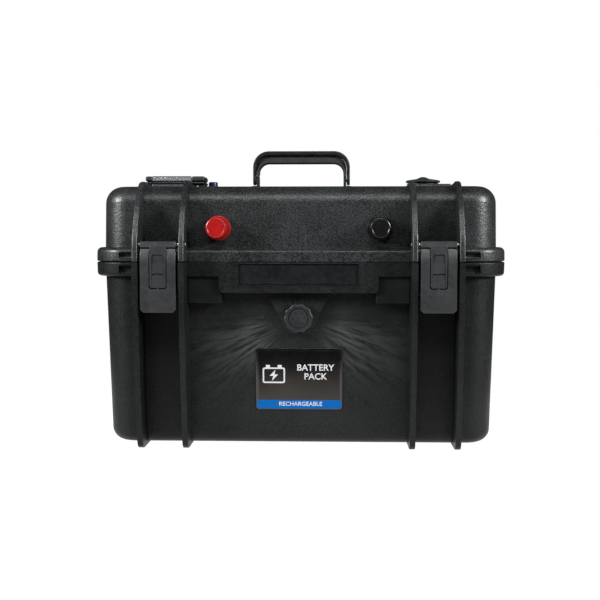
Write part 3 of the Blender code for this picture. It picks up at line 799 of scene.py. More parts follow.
@dataclass(frozen=True)
class GradedInk(Finish):
    """A painted reflection that goes from its colour at the top to its shade at the foot.

    Attributes:
        span: Heights of the foot and the top, in metres.
    """

    span: Flat = (40 * MM, 100 * MM)

    def mix(self, recipe: Recipe) -> None:
        """Colour by height as a painted reflection, with uneven gloss and a fine grain.

        Args:
            recipe: The material in the making.
        """
        cloud = recipe.swing(recipe.noise(self.mottle, 4.0, 0.6), 30 * MM)
        height = recipe.arith("ADD", recipe.along()[2], cloud)
        smear = recipe.noise(self.mottle * 0.22, 5.0, 0.65)
        recipe.surface(
            Base_Color=self.tint(recipe, height, self.span, (1.0, 0.0)),
            Roughness=self.uneven(recipe, smear),
            Normal=recipe.relief(recipe.noise(self.grain, 2.0), self.depth),
            Specular_IOR_Level=self.shine,
        )


@dataclass(frozen=True)
class MouldedCase(Finish):
    """Spark-textured black plastic with faint flow marks that spread from where it was filled.

    Attributes:
        gate: The x and z of the filling point.
        reach: How far the marks carry, in metres.
        marks: Strength of the marks, from 0 to 1.
        grit: Contrast of the speckle.
        bloom: The paler colour where the marks are strongest.
    """

    gate: Flat = (0.0, VALVE_Z)
    reach: float = 150 * MM
    marks: float = 1.0
    grit: float = 2.5
    bloom: Place = (0.044, 0.046, 0.047)

    def mix(self, recipe: Recipe) -> None:
        """Colour, roughness and bump, with the flow marks in the first two.

        Args:
            recipe: The material in the making.
        """
        x, y, z = recipe.along()
        across = recipe.arith("SUBTRACT", x, self.gate[0])
        up = recipe.arith("SUBTRACT", z, self.gate[1])
        bearing = recipe.arith("ARCTAN2", up, across)
        away = recipe.arith("SQRT", recipe.arith("ADD", recipe.times(across, across), recipe.times(up, up)))
        fan = recipe.nodes.new("ShaderNodeCombineXYZ")
        for name, value, much in (("X", bearing, 60 * MM), ("Y", away, 0.1), ("Z", y, 0.2)):
            recipe.feed(fan.inputs[name], recipe.times(value, much))
        rays = recipe.noise(3.2 * MM, 4.0, 0.6, fan.outputs["Vector"])
        fade = recipe.remap(away, (20 * MM, self.reach), (self.marks, 0.0))
        streak = recipe.swing(rays, fade)
        falls = recipe.noise(3 * MM, 3.0, 0.6, recipe.stretched((1.0, 1.0, 0.06)))
        specks = recipe.swing(recipe.noise(self.grain, 2.0, 0.6), self.grit)
        cloud = recipe.remap(recipe.noise(self.mottle, 4.0, 0.6), (0.3, 0.7), (0.25, 0.65))
        plain = recipe.blend(recipe.arith("ADD", cloud, specks), self.colour, self.shade)
        # two fans, to the lower left and right of the gate, on the walls and not on the steps before them
        slope = recipe.arith("ABSOLUTE", recipe.arith("ADD", recipe.arith("DIVIDE", up, away), 0.42))
        fans = recipe.times(recipe.remap(slope, (0.12, 0.42), (1.0, 0.12)),
            recipe.remap(away, (20 * MM, 48 * MM)))
        fans = recipe.times(fans, recipe.remap(y, (-79.5 * MM, -78.5 * MM)))
        patch = recipe.times(recipe.times(recipe.remap(rays, (0.34, 0.62)), fade), fans)
        uneven = recipe.arith("ADD", self.uneven(recipe, recipe.noise(14 * MM, 6.0, 0.7)),
            recipe.times(streak, -0.35))
        uneven = recipe.arith("ADD", uneven, recipe.swing(falls, 0.06))
        spark = recipe.relief(recipe.cells(self.grain), self.depth)
        fine = recipe.relief(recipe.noise(self.grain * 1.8, 3.0), self.depth * 1.6, spark)
        flow = recipe.relief(recipe.arith("ADD", streak, 0.5), self.depth * 5.0, fine)
        recipe.surface(Base_Color=recipe.blend(patch, plain, self.bloom), Roughness=uneven, Normal=flow,
            Specular_IOR_Level=self.shine)


@dataclass(frozen=True)
class BrushedMetal(Finish):
    """Bare metal with fine lines along one axis.

    Attributes:
        lay: The direction of the lines.
    """

    lay: Axis = Axis.X

    def mix(self, recipe: Recipe) -> None:
        """Colour, roughness and bump, drawn out along the lay.

        Args:
            recipe: The material in the making.
        """
        scale = [1.0, 1.0, 1.0]
        scale[self.lay.value] = 0.04
        lines = recipe.noise(self.grain, 3.0, 0.6, recipe.stretched(tuple(scale)))
        stain = recipe.noise(self.mottle, 5.0, 0.6)
        recipe.surface(
            Base_Color=self.tint(recipe, stain, (0.35, 0.7)),
            Roughness=self.uneven(recipe, lines),
            Normal=recipe.relief(lines, self.depth),
            Metallic=1.0,
        )


@dataclass(frozen=True)
class ClearPlastic(Finish):
    """Clear moulded plastic with a faint haze and fine scratches."""

    def mix(self, recipe: Recipe) -> None:
        """A see-through surface whose gloss the haze varies.

        Args:
            recipe: The material in the making.
        """
        haze = recipe.noise(self.mottle, 5.0, 0.7)
        lines = recipe.noise(self.grain, 2.0, 0.5, recipe.stretched((1.0, 0.05, 1.0)))
        recipe.surface(
            Base_Color=self.tint(recipe, haze, (0.3, 0.7)),
            Roughness=self.uneven(recipe, haze),
            Normal=recipe.relief(lines, self.depth),
            Transmission_Weight=0.85,
            IOR=1.46,
        )


# painted shade: the lower moulding's colours are set darker than the lid's, for the light that falls less on it
CASE_WITH_PAINTED_SHADE = MouldedCase("case_moulding", (0.0010, 0.0012, 0.0013), (0.0078, 0.0086, 0.0089), 0.44, 0.05, 1.6 * MM,
    0.10 * MM, 60 * MM, shine=0.19)
# painted light: the lid's colours are set lighter than the lower moulding's, though both are one black plastic
LID_WITH_PAINTED_LIGHT = MouldedCase("lid_moulding", (0.0014, 0.0017, 0.0018), (0.0190, 0.0210, 0.0217), 0.39, 0.05, 1.6 * MM,
    0.12 * MM, 60 * MM, shine=0.34, gate=(0.0, 300 * MM), reach=120 * MM, marks=0.0, grit=3.4)
LATCH = Finish("latch_nylon", (0.0110, 0.0115, 0.0124), (0.0160, 0.0165, 0.0174), 0.38, 0.05, 0.6 * MM,
    0.012 * MM, 20 * MM, shine=0.45)
HANDLE = Finish("handle_nylon", (0.0032, 0.0040, 0.0046), (0.0052, 0.0062, 0.0070), 0.40, 0.06, 0.6 * MM,
    0.010 * MM, 25 * MM, shine=0.22)
GRIP = Finish("soft_grip", (0.0055, 0.0060, 0.0066), (0.0085, 0.0090, 0.0098), 0.60, 0.07, 0.7 * MM, 0.03 * MM,
    14 * MM, shine=0.3)
SIGNAL_RED = Finish("signal_red", (0.205, 0.0032, 0.0030), (0.165, 0.0026, 0.0026), 0.34, 0.06, 0.6 * MM,
    0.006 * MM, 16 * MM, shine=0.25)
BLACK_GLOSS = Finish("gloss_black", (0.0020, 0.0021, 0.0022), (0.0032, 0.0033, 0.0034), 0.28, 0.05, 0.6 * MM,
    0.005 * MM, 18 * MM, shine=0.28)
KNOB = Finish("knob_nylon", (0.0085, 0.0092, 0.0097), (0.0125, 0.0134, 0.0140), 0.40, 0.06, 0.7 * MM, 0.02 * MM,
    12 * MM, shine=0.3)
STEEL = BrushedMetal("pin_steel", (0.60, 0.60, 0.62), (0.46, 0.46, 0.48), 0.28, 0.08, 0.25 * MM, 0.003 * MM,
    9 * MM)
BRASS = BrushedMetal("turned_brass", (0.76, 0.56, 0.24), (0.62, 0.43, 0.18), 0.26, 0.07, 0.2 * MM, 0.003 * MM,
    7 * MM, lay=Axis.X)
COPPER = BrushedMetal("bar_copper", (0.82, 0.43, 0.27), (0.64, 0.30, 0.19), 0.32, 0.08, 0.3 * MM, 0.004 * MM,
    11 * MM)
ALUMINIUM = BrushedMetal("plate_aluminium", (0.70, 0.71, 0.73), (0.58, 0.59, 0.61), 0.36, 0.08, 0.3 * MM,
    0.005 * MM, 24 * MM, lay=Axis.Y)
CELL_FILM = Finish("cell_film", (0.018, 0.085, 0.30), (0.026, 0.12, 0.38), 0.28, 0.08, 6 * MM, 0.10 * MM,
    40 * MM, coat=0.3)
CELL_CAP = Finish("cell_cap", (0.62, 0.63, 0.65), (0.52, 0.53, 0.55), 0.34, 0.06, 0.5 * MM, 0.004 * MM, 15 * MM,
    metal=1.0)
SEAL = Finish("soft_seal", (0.022, 0.022, 0.023), (0.034, 0.034, 0.035), 0.78, 0.06, 0.5 * MM, 0.03 * MM,
    20 * MM)
FOAM = Finish("open_foam", (0.050, 0.050, 0.053), (0.075, 0.075, 0.079), 0.94, 0.04, 1.1 * MM, 0.35 * MM,
    8 * MM)
BOARD = Finish("board_mask", (0.012, 0.135, 0.052), (0.017, 0.170, 0.066), 0.36, 0.07, 1.4 * MM, 0.02 * MM,
    12 * MM, coat=0.3)
PART_BLACK = Finish("part_epoxy", (0.0060, 0.0062, 0.0068), (0.0100, 0.0102, 0.0108), 0.50, 0.08, 0.4 * MM,
    0.010 * MM, 4 * MM, shine=0.3)
# painted reflection: the label panel is near black at the top and warm brown-grey at the foot
LABEL_PAINTED_REFLECTION = GradedInk("label_ink", (0.0008, 0.0008, 0.0009), (0.026, 0.0225, 0.0195), 0.30, 0.05, 1.2 * MM,
    0.004 * MM, 30 * MM, shine=0.12)
LABEL_RESIN = Finish("label_resin", (0.0010, 0.0010, 0.0011), (0.0016, 0.0016, 0.0017), 0.14, 0.04, 1.2 * MM,
    0.002 * MM, 30 * MM, shine=0.8)
LABEL_BLUE = Finish("label_blue", (0.0006, 0.056, 0.205), (0.0007, 0.061, 0.220), 0.36, 0.04, 1.2 * MM,
    0.004 * MM, 30 * MM, shine=0.08)
LABEL_WHITE = Finish("label_white", (0.37, 0.375, 0.385), (0.33, 0.335, 0.345), 0.34, 0.05, 1.2 * MM,
    0.003 * MM, 12 * MM, shine=0.2)
PLATE = Finish("plate_ink", (0.0030, 0.0040, 0.0042), (0.0055, 0.0066, 0.0068), 0.30, 0.07, 0.9 * MM,
    0.010 * MM, 26 * MM, shine=0.3)
CLEAR = ClearPlastic("clear_cover", (0.62, 0.66, 0.68), (0.54, 0.58, 0.60), 0.10, 0.03, 0.8 * MM, 0.006 * MM,
    14 * MM)
SCREEN = Finish("display_glass", (0.11, 0.14, 0.10), (0.16, 0.20, 0.15), 0.14, 0.04, 0.8 * MM, 0.002 * MM,
    12 * MM, coat=0.6)
SCREEN_INK = Finish("display_ink", (0.012, 0.014, 0.012), (0.020, 0.023, 0.020), 0.34, 0.05, 0.6 * MM,
    0.002 * MM, 6 * MM)
SWITCH_BLUE = Finish("button_blue", (0.0030, 0.0080, 0.0360), (0.0045, 0.0110, 0.0460), 0.34, 0.06, 0.5 * MM,
    0.004 * MM, 6 * MM, shine=0.3)
YELLOW_SLEEVE = Finish("wire_sleeve", (0.55, 0.36, 0.02), (0.47, 0.30, 0.015), 0.45, 0.07, 0.6 * MM, 0.01 * MM,
    8 * MM)
LEAD_RED = Finish("lead_red", (0.42, 0.012, 0.010), (0.33, 0.009, 0.008), 0.42, 0.08, 0.9 * MM, 0.02 * MM,
    12 * MM)
LEAD_BLACK = Finish("lead_black", (0.014, 0.014, 0.015), (0.022, 0.022, 0.023), 0.44, 0.08, 0.9 * MM, 0.02 * MM,
    12 * MM)


def dress(piece: Piece, finish: Finish, body: str, stands_for: Sequence[str] = (),
        angle: float = 32.0, weighted: bool = True) -> Piece:
    """Finishes a piece: material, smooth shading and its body.

    Args:
        piece: The mesh object, in place.
        finish: Its surface.
        body: The body that it rides on.
        stands_for: Nodes of the frame that it replaces.
        angle: Edges sharper than this many degrees stay sharp.
        weighted: True to let the large faces lead the normals.

    Returns:
        The piece.
    """
    piece.data.materials.clear()
    piece.data.materials.append(finish.build())
    pick(piece)
    bpy.ops.object.shade_smooth_by_angle(angle=math.radians(angle))
    if weighted:
        take(piece, "WEIGHTED_NORMAL", keep_sharp=True, weight=50)
    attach(piece, body)
    if stands_for:
        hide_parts(*stands_for)
    LOG.info("%s: %d faces on %s", piece.name, len(piece.data.polygons), body)
    return piece


def node_copy(node: str, name: str) -> Piece:
    """A merged copy of a frame node's mesh, in its place.

    Args:
        node: The node.
        name: The copy's name.

    Returns:
        The copy.
    """
    calm()
    piece = bpy.data.objects.new(name, bpy.data.objects[node].data.copy())
    bpy.context.scene.collection.objects.link(piece)
    with editing(piece, Kind.VERT):
        bpy.ops.mesh.remove_doubles(threshold=TOUCH)
        bpy.ops.mesh.dissolve_limited(angle_limit=math.radians(1.0))
    return piece


# ---- the two mouldings ----


@dataclass(frozen=True)
class Half:
    """How far one moulding runs from the split, and how it leans.

    Attributes:
        rim: Height of its end at the split.
        level: Height where its flange ends.
        far: Height of its other end.
        lean: Lean of the front and rear walls, in degrees.
        side_lean: Lean of the side walls, in degrees.
        edge_round: Rounding of the far edge.
        flange_round: Rounding of the flange's outer edge.
    """

    rim: float
    level: float
    far: float
    lean: float
    side_lean: float
    edge_round: float
    flange_round: float

    def inset(self, reach: float) -> Flat:
        """How far the walls have leaned in, on x and y, over a distance from the split."""
        return reach * math.tan(math.radians(self.side_lean)), reach * math.tan(math.radians(self.lean))


@dataclass(frozen=True)
class CaseSizes:
    """Sizes that both mouldings share, in metres."""

    middle_y: float = MIDDLE_Y
    half_x: float = 211.5 * MM
    half_y: float = 86 * MM
    corner: float = 28 * MM
    wall: float = 4 * MM
    flange: float = 9 * MM
    floor_z: float = 1.4 * MM
    split_z: float = 198.6 * MM
    split_gap: float = 0.5 * MM
    roof_z: float = 279 * MM
    flange_low: float = 183.4 * MM
    flange_high: float = 213.8 * MM
    base_lean: float = 3.2
    rib_x: Flat = (120 * MM, 168 * MM)
    rib_thick: float = 6 * MM
    overlap: float = 1 * MM
    hinge_bore: float = 2.3 * MM
    latch_bore: float = 1.8 * MM
    hinge_y: float = 106 * MM
    pair_x: float = 144 * MM
    latch_pin: Flat = (-104 * MM, 217 * MM)

    @property
    def base_top(self) -> float:
        """Height of the lower moulding's rim."""
        return self.split_z - self.split_gap / 2

    @property
    def lid_low(self) -> float:
        """Height of the upper moulding's rim."""
        return self.split_z + self.split_gap / 2

    @property
    def tub(self) -> Half:
        """The lower moulding's half of the case."""
        return Half(self.base_top, self.flange_low, self.floor_z, self.base_lean, 1.2, 14 * MM, 4 * MM)

    @property
    def lid(self) -> Half:
        """The upper moulding's half of the case."""
        return Half(self.lid_low, self.flange_high, self.roof_z, 1.5, 0.6, 18 * MM, 5.5 * MM)

    def beyond(self, point: Vector) -> float:
        """How far a point stands outside the body's outline at the split, in plan."""
        x = abs(point.x) - (self.half_x - self.corner)
        y = abs(point.y - self.middle_y) - (self.half_y - self.corner)
        outer = math.hypot(max(x, 0.0), max(y, 0.0))
        return outer + min(max(x, y), 0.0) - self.corner

    def wall_y(self, z: float) -> float:
        """The front wall's face at a height of the lower moulding."""
        return self.middle_y - self.half_y + (self.split_z - z) * math.tan(math.radians(self.base_lean))

    def on_wall(self, z: float, x: float = 0.0, out: float = 0.0) -> Matrix:
        """The move that lays a flat piece, built facing +Z, on the leaning front wall at a height."""
        turn = Matrix.Rotation(math.radians(90 + self.base_lean), 4, "X")
        return Matrix.Translation((x, self.wall_y(z), z)) @ turn @ Matrix.Translation((0.0, 0.0, out))

    @property
    def inner_reach(self) -> float:
        """How far a step of the front runs from the middle, a little way into the inner ribs."""
        return self.rib_x[0] - self.rib_thick / 2 + self.overlap

    def between_ribs(self, side: Side) -> Flat:
        """The span from the inner to the outer rib on one side."""
        return side.span(self.rib_x[0] + self.overlap, self.rib_x[1] - self.overlap)

    def rib_places(self) -> list[float]:
        """Where the four pairs of front and rear ribs stand, as x."""
        return [side.value * x for x in self.rib_x for side in Side]


class Shell:
    """What the lower and upper mouldings have in common."""

    def __init__(self, sizes: CaseSizes) -> None:
        """Takes the shared sizes."""
        self.sizes = sizes

    def drum(self, name: str, half: Half) -> Piece:
        """A leaning box with rounded corners and a rounded far edge, open at neither end.

        Args:
            name: The object's name.
            half: Which half of the case it is.

        Returns:
            The object.
        """
        s = self.sizes
        inset_x, inset_y = half.inset(abs(half.far - s.split_z))
        low, high = min(half.rim, half.far), max(half.rim, half.far)
        piece = block(name, (-s.half_x, s.middle_y - s.half_y, low), (s.half_x, s.middle_y + s.half_y, high))
        with editing(piece, Kind.VERT, lambda m, d: abs(m.z - half.far) < MM):
            bpy.ops.transform.resize(value=(1 - inset_x / s.half_x, 1 - inset_y / s.half_y, 1.0),
                center_override=(0.0, s.middle_y, half.far))
        soften_where(piece, lambda m, d: abs(d.z) > 0.9, s.corner, 12)
        soften_where(piece, lambda m, d: abs(m.z - half.far) < NEAR and abs(d.z) < 0.1, half.edge_round, 9)
        return piece

    def flange(self, piece: Piece, half: Half) -> None:
        """Grows the flange along the rim and rounds its outer edges.

        Args:
            piece: The drum.
            half: Which half of the case it is.
        """
        s = self.sizes
        with editing(piece):
            bpy.ops.mesh.bisect(plane_co=(0.0, 0.0, half.level), plane_no=UP)
        low, high = min(half.level, half.rim), max(half.level, half.rim)
        with editing(piece, Kind.FACE, lambda m, d: low < m.z < high and abs(d.z) < 0.5):
            bpy.ops.mesh.extrude_region_shrink_fatten(
                TRANSFORM_OT_shrink_fatten={"value": s.flange, "use_even_offset": True})
        if self.sizes.beyond(max((v.co for v in piece.data.vertices), key=lambda co: abs(co.x))) < 0:
            raise ValueError("the flange grew inwards")

        def outer_edge(z: float) -> Test:
            """The flange's outer edge near a height."""
            return lambda m, d: abs(m.z - z) < 1.2 * MM and abs(d.z) < 0.2 and s.beyond(m) > s.flange - 2.5 * MM

        soften_where(piece, outer_edge(half.level), half.flange_round, 6)
        soften_where(piece, outer_edge(half.rim), 1.2 * MM, 2)

    def hollow(self, piece: Piece, half: Half) -> None:
        """Sinks the hollow into the shell from its rim.

        Args:
            piece: The shell.
            half: Which half of the case it is.
        """
        s = self.sizes
        away = 1.0 if half.far > half.rim else -1.0
        depth = abs(half.far - half.rim) - half.edge_round

        def mouth(middle: Vector, normal: Vector) -> bool:
            """The large face inside the flange."""
            central = abs(middle.x) < MM and abs(middle.y - s.middle_y) < MM
            return abs(middle.z - half.rim) < 0.05 * MM and central and normal.z * away < -0.9

        with editing(piece, Kind.FACE, mouth):
            bpy.ops.mesh.inset(thickness=s.wall)
            half_x, half_y = s.half_x - s.wall, s.half_y - s.wall
            height = half.rim
            corner = half.edge_round / 2
            for drop, inward in ((depth, half.inset(depth)), (half.edge_round - s.wall, (corner, corner))):
                bpy.ops.mesh.extrude_region_move(TRANSFORM_OT_translate={"value": (0.0, 0.0, away * drop)})
                height += away * drop
                bpy.ops.transform.resize(value=(1 - inward[0] / half_x, 1 - inward[1] / half_y, 1.0),
                    center_override=(0.0, s.middle_y, height))
                half_x, half_y = half_x - inward[0], half_y - inward[1]

    def walls(self) -> Flat:
        """The middles of the rear and front walls at the split, as y."""
        s = self.sizes
        mid = s.wall / 2
        return s.middle_y + s.half_y - mid, s.middle_y - s.half_y + mid

    def mould(self, name: str, half: Half, outline: Sequence[Flat]) -> Piece:
        """The hollow shell of one half with its ribs.

        Args:
            name: The object's name.
            half: Which half of the case it is.
            outline: Side view of a rib as (y, z) pairs.

        Returns:
            The object.
        """
        shell = self.drum(name, half)
        self.flange(shell, half)
        self.hollow(shell, half)
        thick = self.sizes.rib_thick / 2
        ribs = [prism("rib", outline, Axis.X, x - thick, x + thick) for x in self.sizes.rib_places()]
        return fuse(shell, *[soften(rib, 1.5 * MM, 3, 60) for rib in ribs])

    def pocket(self, side: Side, low: float, high: float) -> Piece:
        """The cutter for the open recess beside an outer rib, in the front flange."""
        s = self.sizes
        front = s.middle_y - s.half_y - s.flange
        return block("pocket", (side.value * 172.5 * MM, front - 3 * MM, low),
            (side.value * 190 * MM, front + 5 * MM, high), 1.6 * MM, 3)


class TubMoulding(Shell):
    """The lower moulding, with ribs that carry on under the floor as skids."""

    def rib_outline(self) -> list[Flat]:
        """Side view of a lower rib, round its front, floor, rear and inner side."""
        s = self.sizes
        top = s.base_top
        front = through(mm((-114, top / MM), (-112, 165), (-107, 113), (-101, 61), (-95.5, 24)), 4)
        front += through(mm((-95.5, 24), (-91.5, 8), (-88, 2.6), (-83, 0)), 4)[1:]
        rear = through(mm((94, 0), (98.6, 2.4), (101, 7), (104, 24)), 4)
        rear += through(mm((104, 24), (112, 165), (113.4, 178)), 5)[1:] + mm((114, 184), (114, top / MM))
        mid = s.wall / 2
        foot = 20 * MM
        lean = (s.split_z - foot) * math.tan(math.radians(s.base_lean))
        rear_wall, front_wall = self.walls()
        inner = [(rear_wall, top), (rear_wall - lean, foot), (rear_wall - lean - 14 * MM, s.floor_z + mid)]
        inner += [(front_wall + lean + 14 * MM, s.floor_z + mid), (front_wall + lean, foot), (front_wall, top)]
        return front + rear + inner

    def front_steps(self) -> list[Piece]:
        """The raised band under the split with its deeper middle, and the two shallow pads beside that."""
        s = self.sizes
        wide = s.inner_reach
        band = block("band", (-wide, -92 * MM, s.flange_low), (wide, -78 * MM, s.base_top), 0.9 * MM)
        middle = prism("middle_band", [(-84 * MM, 185 * MM), *arc((-79 * MM, 171 * MM), 5 * MM, 180, 270, 5),
            *arc((79 * MM, 171 * MM), 5 * MM, 270, 360, 5), (84 * MM, 185 * MM)], Axis.Y, -92 * MM, -74 * MM)
        soften(middle, 1.0 * MM, 3, 50)
        steps = [band, middle]
        for side in Side:
            near, far = side.span(81 * MM, wide - 1.4 * MM)
            outline = rounded_rectangle((near, 155 * MM), (far, 185 * MM), 1.6 * MM)
            steps.append(soften(prism("pad", outline, Axis.Y, -88 * MM, -73 * MM), 1.2 * MM, 3, 50))
        return steps

    def catch_bars(self) -> list[Piece]:
        """The bars between the ribs that the latches' hooks close behind."""
        s = self.sizes
        bars = []
        for side in Side:
            outline = mm((-101, 158), (-101, 166), (-74, 178), (-74, 152))
            bars.append(soften(prism("bar", outline, Axis.X, *s.between_ribs(side)), 1.2 * MM, 3))
        return bars

    def boss(self) -> Piece:
        """The raised seat of the purge valve, wide at the top and round below."""
        outline = mm((-35, 168)) + arc((0.0, VALVE_Z), 18.5 * MM, 205, 335, 20) + mm((35, 168))
        return soften(prism("boss", outline, Axis.Y, -81 * MM, -72 * MM), 0.9 * MM, 3, 50)

    def splay(self) -> Piece:
        """The low raised field that spreads from the boss to the label."""
        outline = mm((-44, -4), (44, -4), (17.5, 16), (-17.5, 16))
        piece = soften(prism("splay", outline, Axis.Z, -2 * MM, 0.55 * MM), 0.5 * MM, 2, 50)
        return bake_place(piece, self.sizes.on_wall(110 * MM))

    def plate_window(self) -> list[Flat]:
        """Front view of the name plate's recess."""
        return round_window(62.5, 174.5, 196.5, 1.0, 4)

    def bead(self) -> Piece:
        """The thin raised frame round the name plate's recess."""
        outer = round_window(63.6, 173.4, 197.2, 1.6, 4)
        inner = self.plate_window()
        frame = prism("bead", outer, Axis.Y, -92.5 * MM, -91 * MM)
        carve(frame, prism("bead_hole", inner, Axis.Y, -95 * MM, -88 * MM))
        return soften(frame, 0.25 * MM, 2, 50)

    def cuts(self) -> list[Piece]:
        """Cutters for the name plate, flange pockets, hinge and valve."""
        s = self.sizes
        plate = self.plate_window()
        cutters = [prism("plate_recess", plate, Axis.Y, -94 * MM, -89.5 * MM)]
        for side in Side:
            x = side.value * s.pair_x
            half = 17.8 * MM
            cutters.append(self.pocket(side, 186 * MM, 195 * MM))
            knuckle = rod("knuckle", (x, s.hinge_y, s.split_z), Axis.X, 8.5 * MM, x - half, x + half, 0.0, 40)
            bore = rod("bore", (x, s.hinge_y, s.split_z), Axis.X, s.hinge_bore, x - 30 * MM, x + 30 * MM, 0.0,
                24)
            cutters.append(fuse(knuckle, bore))
        cutters.append(rod("valve_bore", (0.0, 0.0, VALVE_Z), Axis.Y, 8.3 * MM, -84 * MM, -60 * MM, 0.0, 40))
        return cutters

    def build(self) -> None:
        """Builds and dresses the lower moulding."""
        shell = self.mould("tub_shell", self.sizes.tub, self.rib_outline())
        for step in self.front_steps():
            fuse(shell, step)
        fuse(shell, *self.catch_bars())
        for step in (self.boss(), self.splay(), self.bead()):
            fuse(shell, step)
        carve(shell, *self.cuts())
        dress(shell, CASE_WITH_PAINTED_SHADE, "base", ["base_shell"], 30)


class LidMoulding(Shell):
    """The upper moulding, with its ribs, hinge lugs and top pads."""

    def rib_outline(self) -> list[Flat]:
        """Side view of an upper rib, round its front, top, rear and inner side."""
        s = self.sizes
        low = s.lid_low
        front = through(mm((-114, low / MM), (-111.5, 222), (-105.5, 238), (-98, 254), (-89, 266), (-78, 277),
            (-70, 282.2), (-62, 284)), 4)
        top = through(mm((-62, 284), (-46, 282.8), (-30, 282)), 3)[1:] + mm((48, 282))
        top += through(mm((48, 282), (62, 282.9), (76, 284), (84, 282)), 3)[1:]
        rear = through(mm((84, 282), (94, 274), (101, 258), (102.5, 230), (102.5, low / MM)), 4)[1:]
        mid = s.wall / 2
        rear_wall, front_wall = self.walls()
        inner = [(rear_wall, low), (rear_wall - 2 * MM, 260 * MM), (rear_wall - 14 * MM, s.roof_z - mid)]
        inner += [(front_wall + 14 * MM, s.roof_z - mid), (front_wall + 2 * MM, 260 * MM), (front_wall, low)]
        return front + top + rear + inner

    def ledge(self) -> Piece:
        """The ledge along the front of the rim, between the inner ribs."""
        wide = self.sizes.inner_reach
        outline = mm((-92, self.sizes.lid_low / MM), (-92, 208.2))
        outline += arc((-89.2 * MM, 208.6 * MM), 2.8 * MM, 180, 90, 6)[1:] + mm((-76, 211.6))
        outline += mm((-76, self.sizes.lid_low / MM))
        return prism("ledge", outline, Axis.X, -wide, wide)

    def top_pads(self) -> list[Piece]:
        """The raised seats between each pair of ribs on top."""
        s = self.sizes
        pads = []
        for side in Side:
            ends = s.between_ribs(side)
            outline = rounded_rectangle((ends[0] + 0.2 * MM, -20 * MM), (ends[1] - 0.2 * MM, 36 * MM), 2 * MM)
            pads.append(soften(prism("top_pad", outline, Axis.Z, s.roof_z - 2 * MM, 283.6 * MM), 0.7 * MM, 2,
                50))
        return pads

    def lugs(self) -> list[Piece]:
        """The two rear hinge knuckles that the pins run through."""
        s = self.sizes
        lugs = []
        for side in Side:
            x = side.value * s.pair_x
            outline = arc((s.hinge_y, s.split_z), 7.5 * MM, -150, 60, 20)
            outline += mm((102, 212.8), (94, 212.8), (94, s.lid_low / MM), (98.5, s.lid_low / MM))
            lugs.append(soften(prism("lug", outline, Axis.X, x - 17 * MM, x + 17 * MM), 0.5 * MM, 2, 55))
        return lugs

    def seal_groove(self) -> Piece:
        """The cutter for the groove that the seal lies in."""
        seal = node_copy("lid_seal", "groove")
        with editing(seal, Kind.VERT, lambda m, d: m.z < self.sizes.lid_low + 1 * MM):
            bpy.ops.transform.translate(value=(0.0, 0.0, -1.5 * MM))
        with editing(seal, Kind.FACE):
            bpy.ops.transform.shrink_fatten(value=0.25 * MM, use_even_offset=True)
        return seal

    def cuts(self) -> list[Piece]:
        """Cutters for pockets, hinge pins, latch pins, terminals, socket and switch."""
        s = self.sizes
        cutters = []
        for side in Side:
            x = side.value * s.pair_x
            cutters.append(self.pocket(side, 202 * MM, 209 * MM))
            cutters.append(rod("hinge_bore", (x, s.hinge_y, s.split_z), Axis.X, s.hinge_bore, x - 20 * MM, x
                + 20 * MM))
            pin = (x, *s.latch_pin)
            cutters.append(rod("pin_bore", pin, Axis.X, s.latch_bore, x - 29.5 * MM, x + 29.5 * MM))
            mouth = (side.value * TERMINAL_X, 0.0, TERMINAL_Z)
            cutters.append(rod("terminal_bore", mouth, Axis.Y, 6.3 * MM, -90 * MM, -60 * MM, 0.0, 40))
        cutters.append(rod("socket_bore", (138 * MM, s.middle_y, 0.0), Axis.Z, 11.3 * MM, 260 * MM, 290 * MM,
            0.0, 48))
        cutters.append(rod("switch_bore", (-101 * MM, s.middle_y, 0.0), Axis.Z, 5.3 * MM, 260 * MM, 290 * MM))
        return cutters

    def build(self) -> None:
        """Builds and dresses the upper moulding."""
        shell = self.mould("lid_moulding", self.sizes.lid, self.rib_outline())
        fuse(shell, self.ledge())
        fuse(shell, *self.top_pads())
        fuse(shell, *self.lugs())
        carve(shell, *self.cuts())
        carve(shell, self.seal_groove())
        dress(shell, LID_WITH_PAINTED_LIGHT, "lid", ["lid_shell"], 30)


# ---- hardware ----


def home(node: str) -> str:
    """The body that a frame node belongs to."""
    owner = body_of(bpy.data.objects[node])
    return owner if isinstance(owner, str) else owner[0]


def screw_head(name: str, place: Place, axis: Axis, outward: float, radius: float = 2.6 * MM) -> Piece:
    """A low domed screw head with a cross slot.

    Args:
        name: The object's name.
        place: Middle of the seat.
        axis: The screw's direction.
        outward: 1 or -1, the way that it faces on its axis.
        radius: Radius of the head.

    Returns:
        The object.
    """
    tall = radius * 0.55
    profile = [(0.0, 0.0), (radius, 0.0), (radius, outward * tall * 0.45),
        (radius * 0.8, outward * tall * 0.85), (radius * 0.4, outward * tall), (0.0, outward * tall)]
    head = lathe(name, profile, place, axis, 24)
    slots = []
    for k in (1, 2):
        low, high = list(place), list(place)
        for other in range(3):
            reach = radius * (0.62 if other == (axis.value + k) % 3 else 0.14)
            low[other] -= reach
            high[other] += reach
        low[axis.value] = place[axis.value] + outward * tall * 0.5
        high[axis.value] = place[axis.value] + outward * tall * 1.6
        slots.append(block("slot", tuple(low), tuple(high)))
    carve(head, fuse(slots[0], slots[1]))
    return head


def hexagon(centre: Flat, radius: float) -> list[Flat]:
    """The corners of a nut's outline."""
    return arc(centre, radius, 0, 300, 5)


def threaded(low: float, high: float, radius: float, pitch: float) -> list[Flat]:
    """The outer profile of a threaded length, as (radius, place) pairs."""
    turns = max(1, int((high - low) / pitch))
    step = (high - low) / turns
    profile = [(radius - 0.35 * MM, low)]
    for i in range(turns):
        profile += [(radius, low + (i + 0.5) * step), (radius - 0.35 * MM, low + (i + 1) * step)]
    return profile


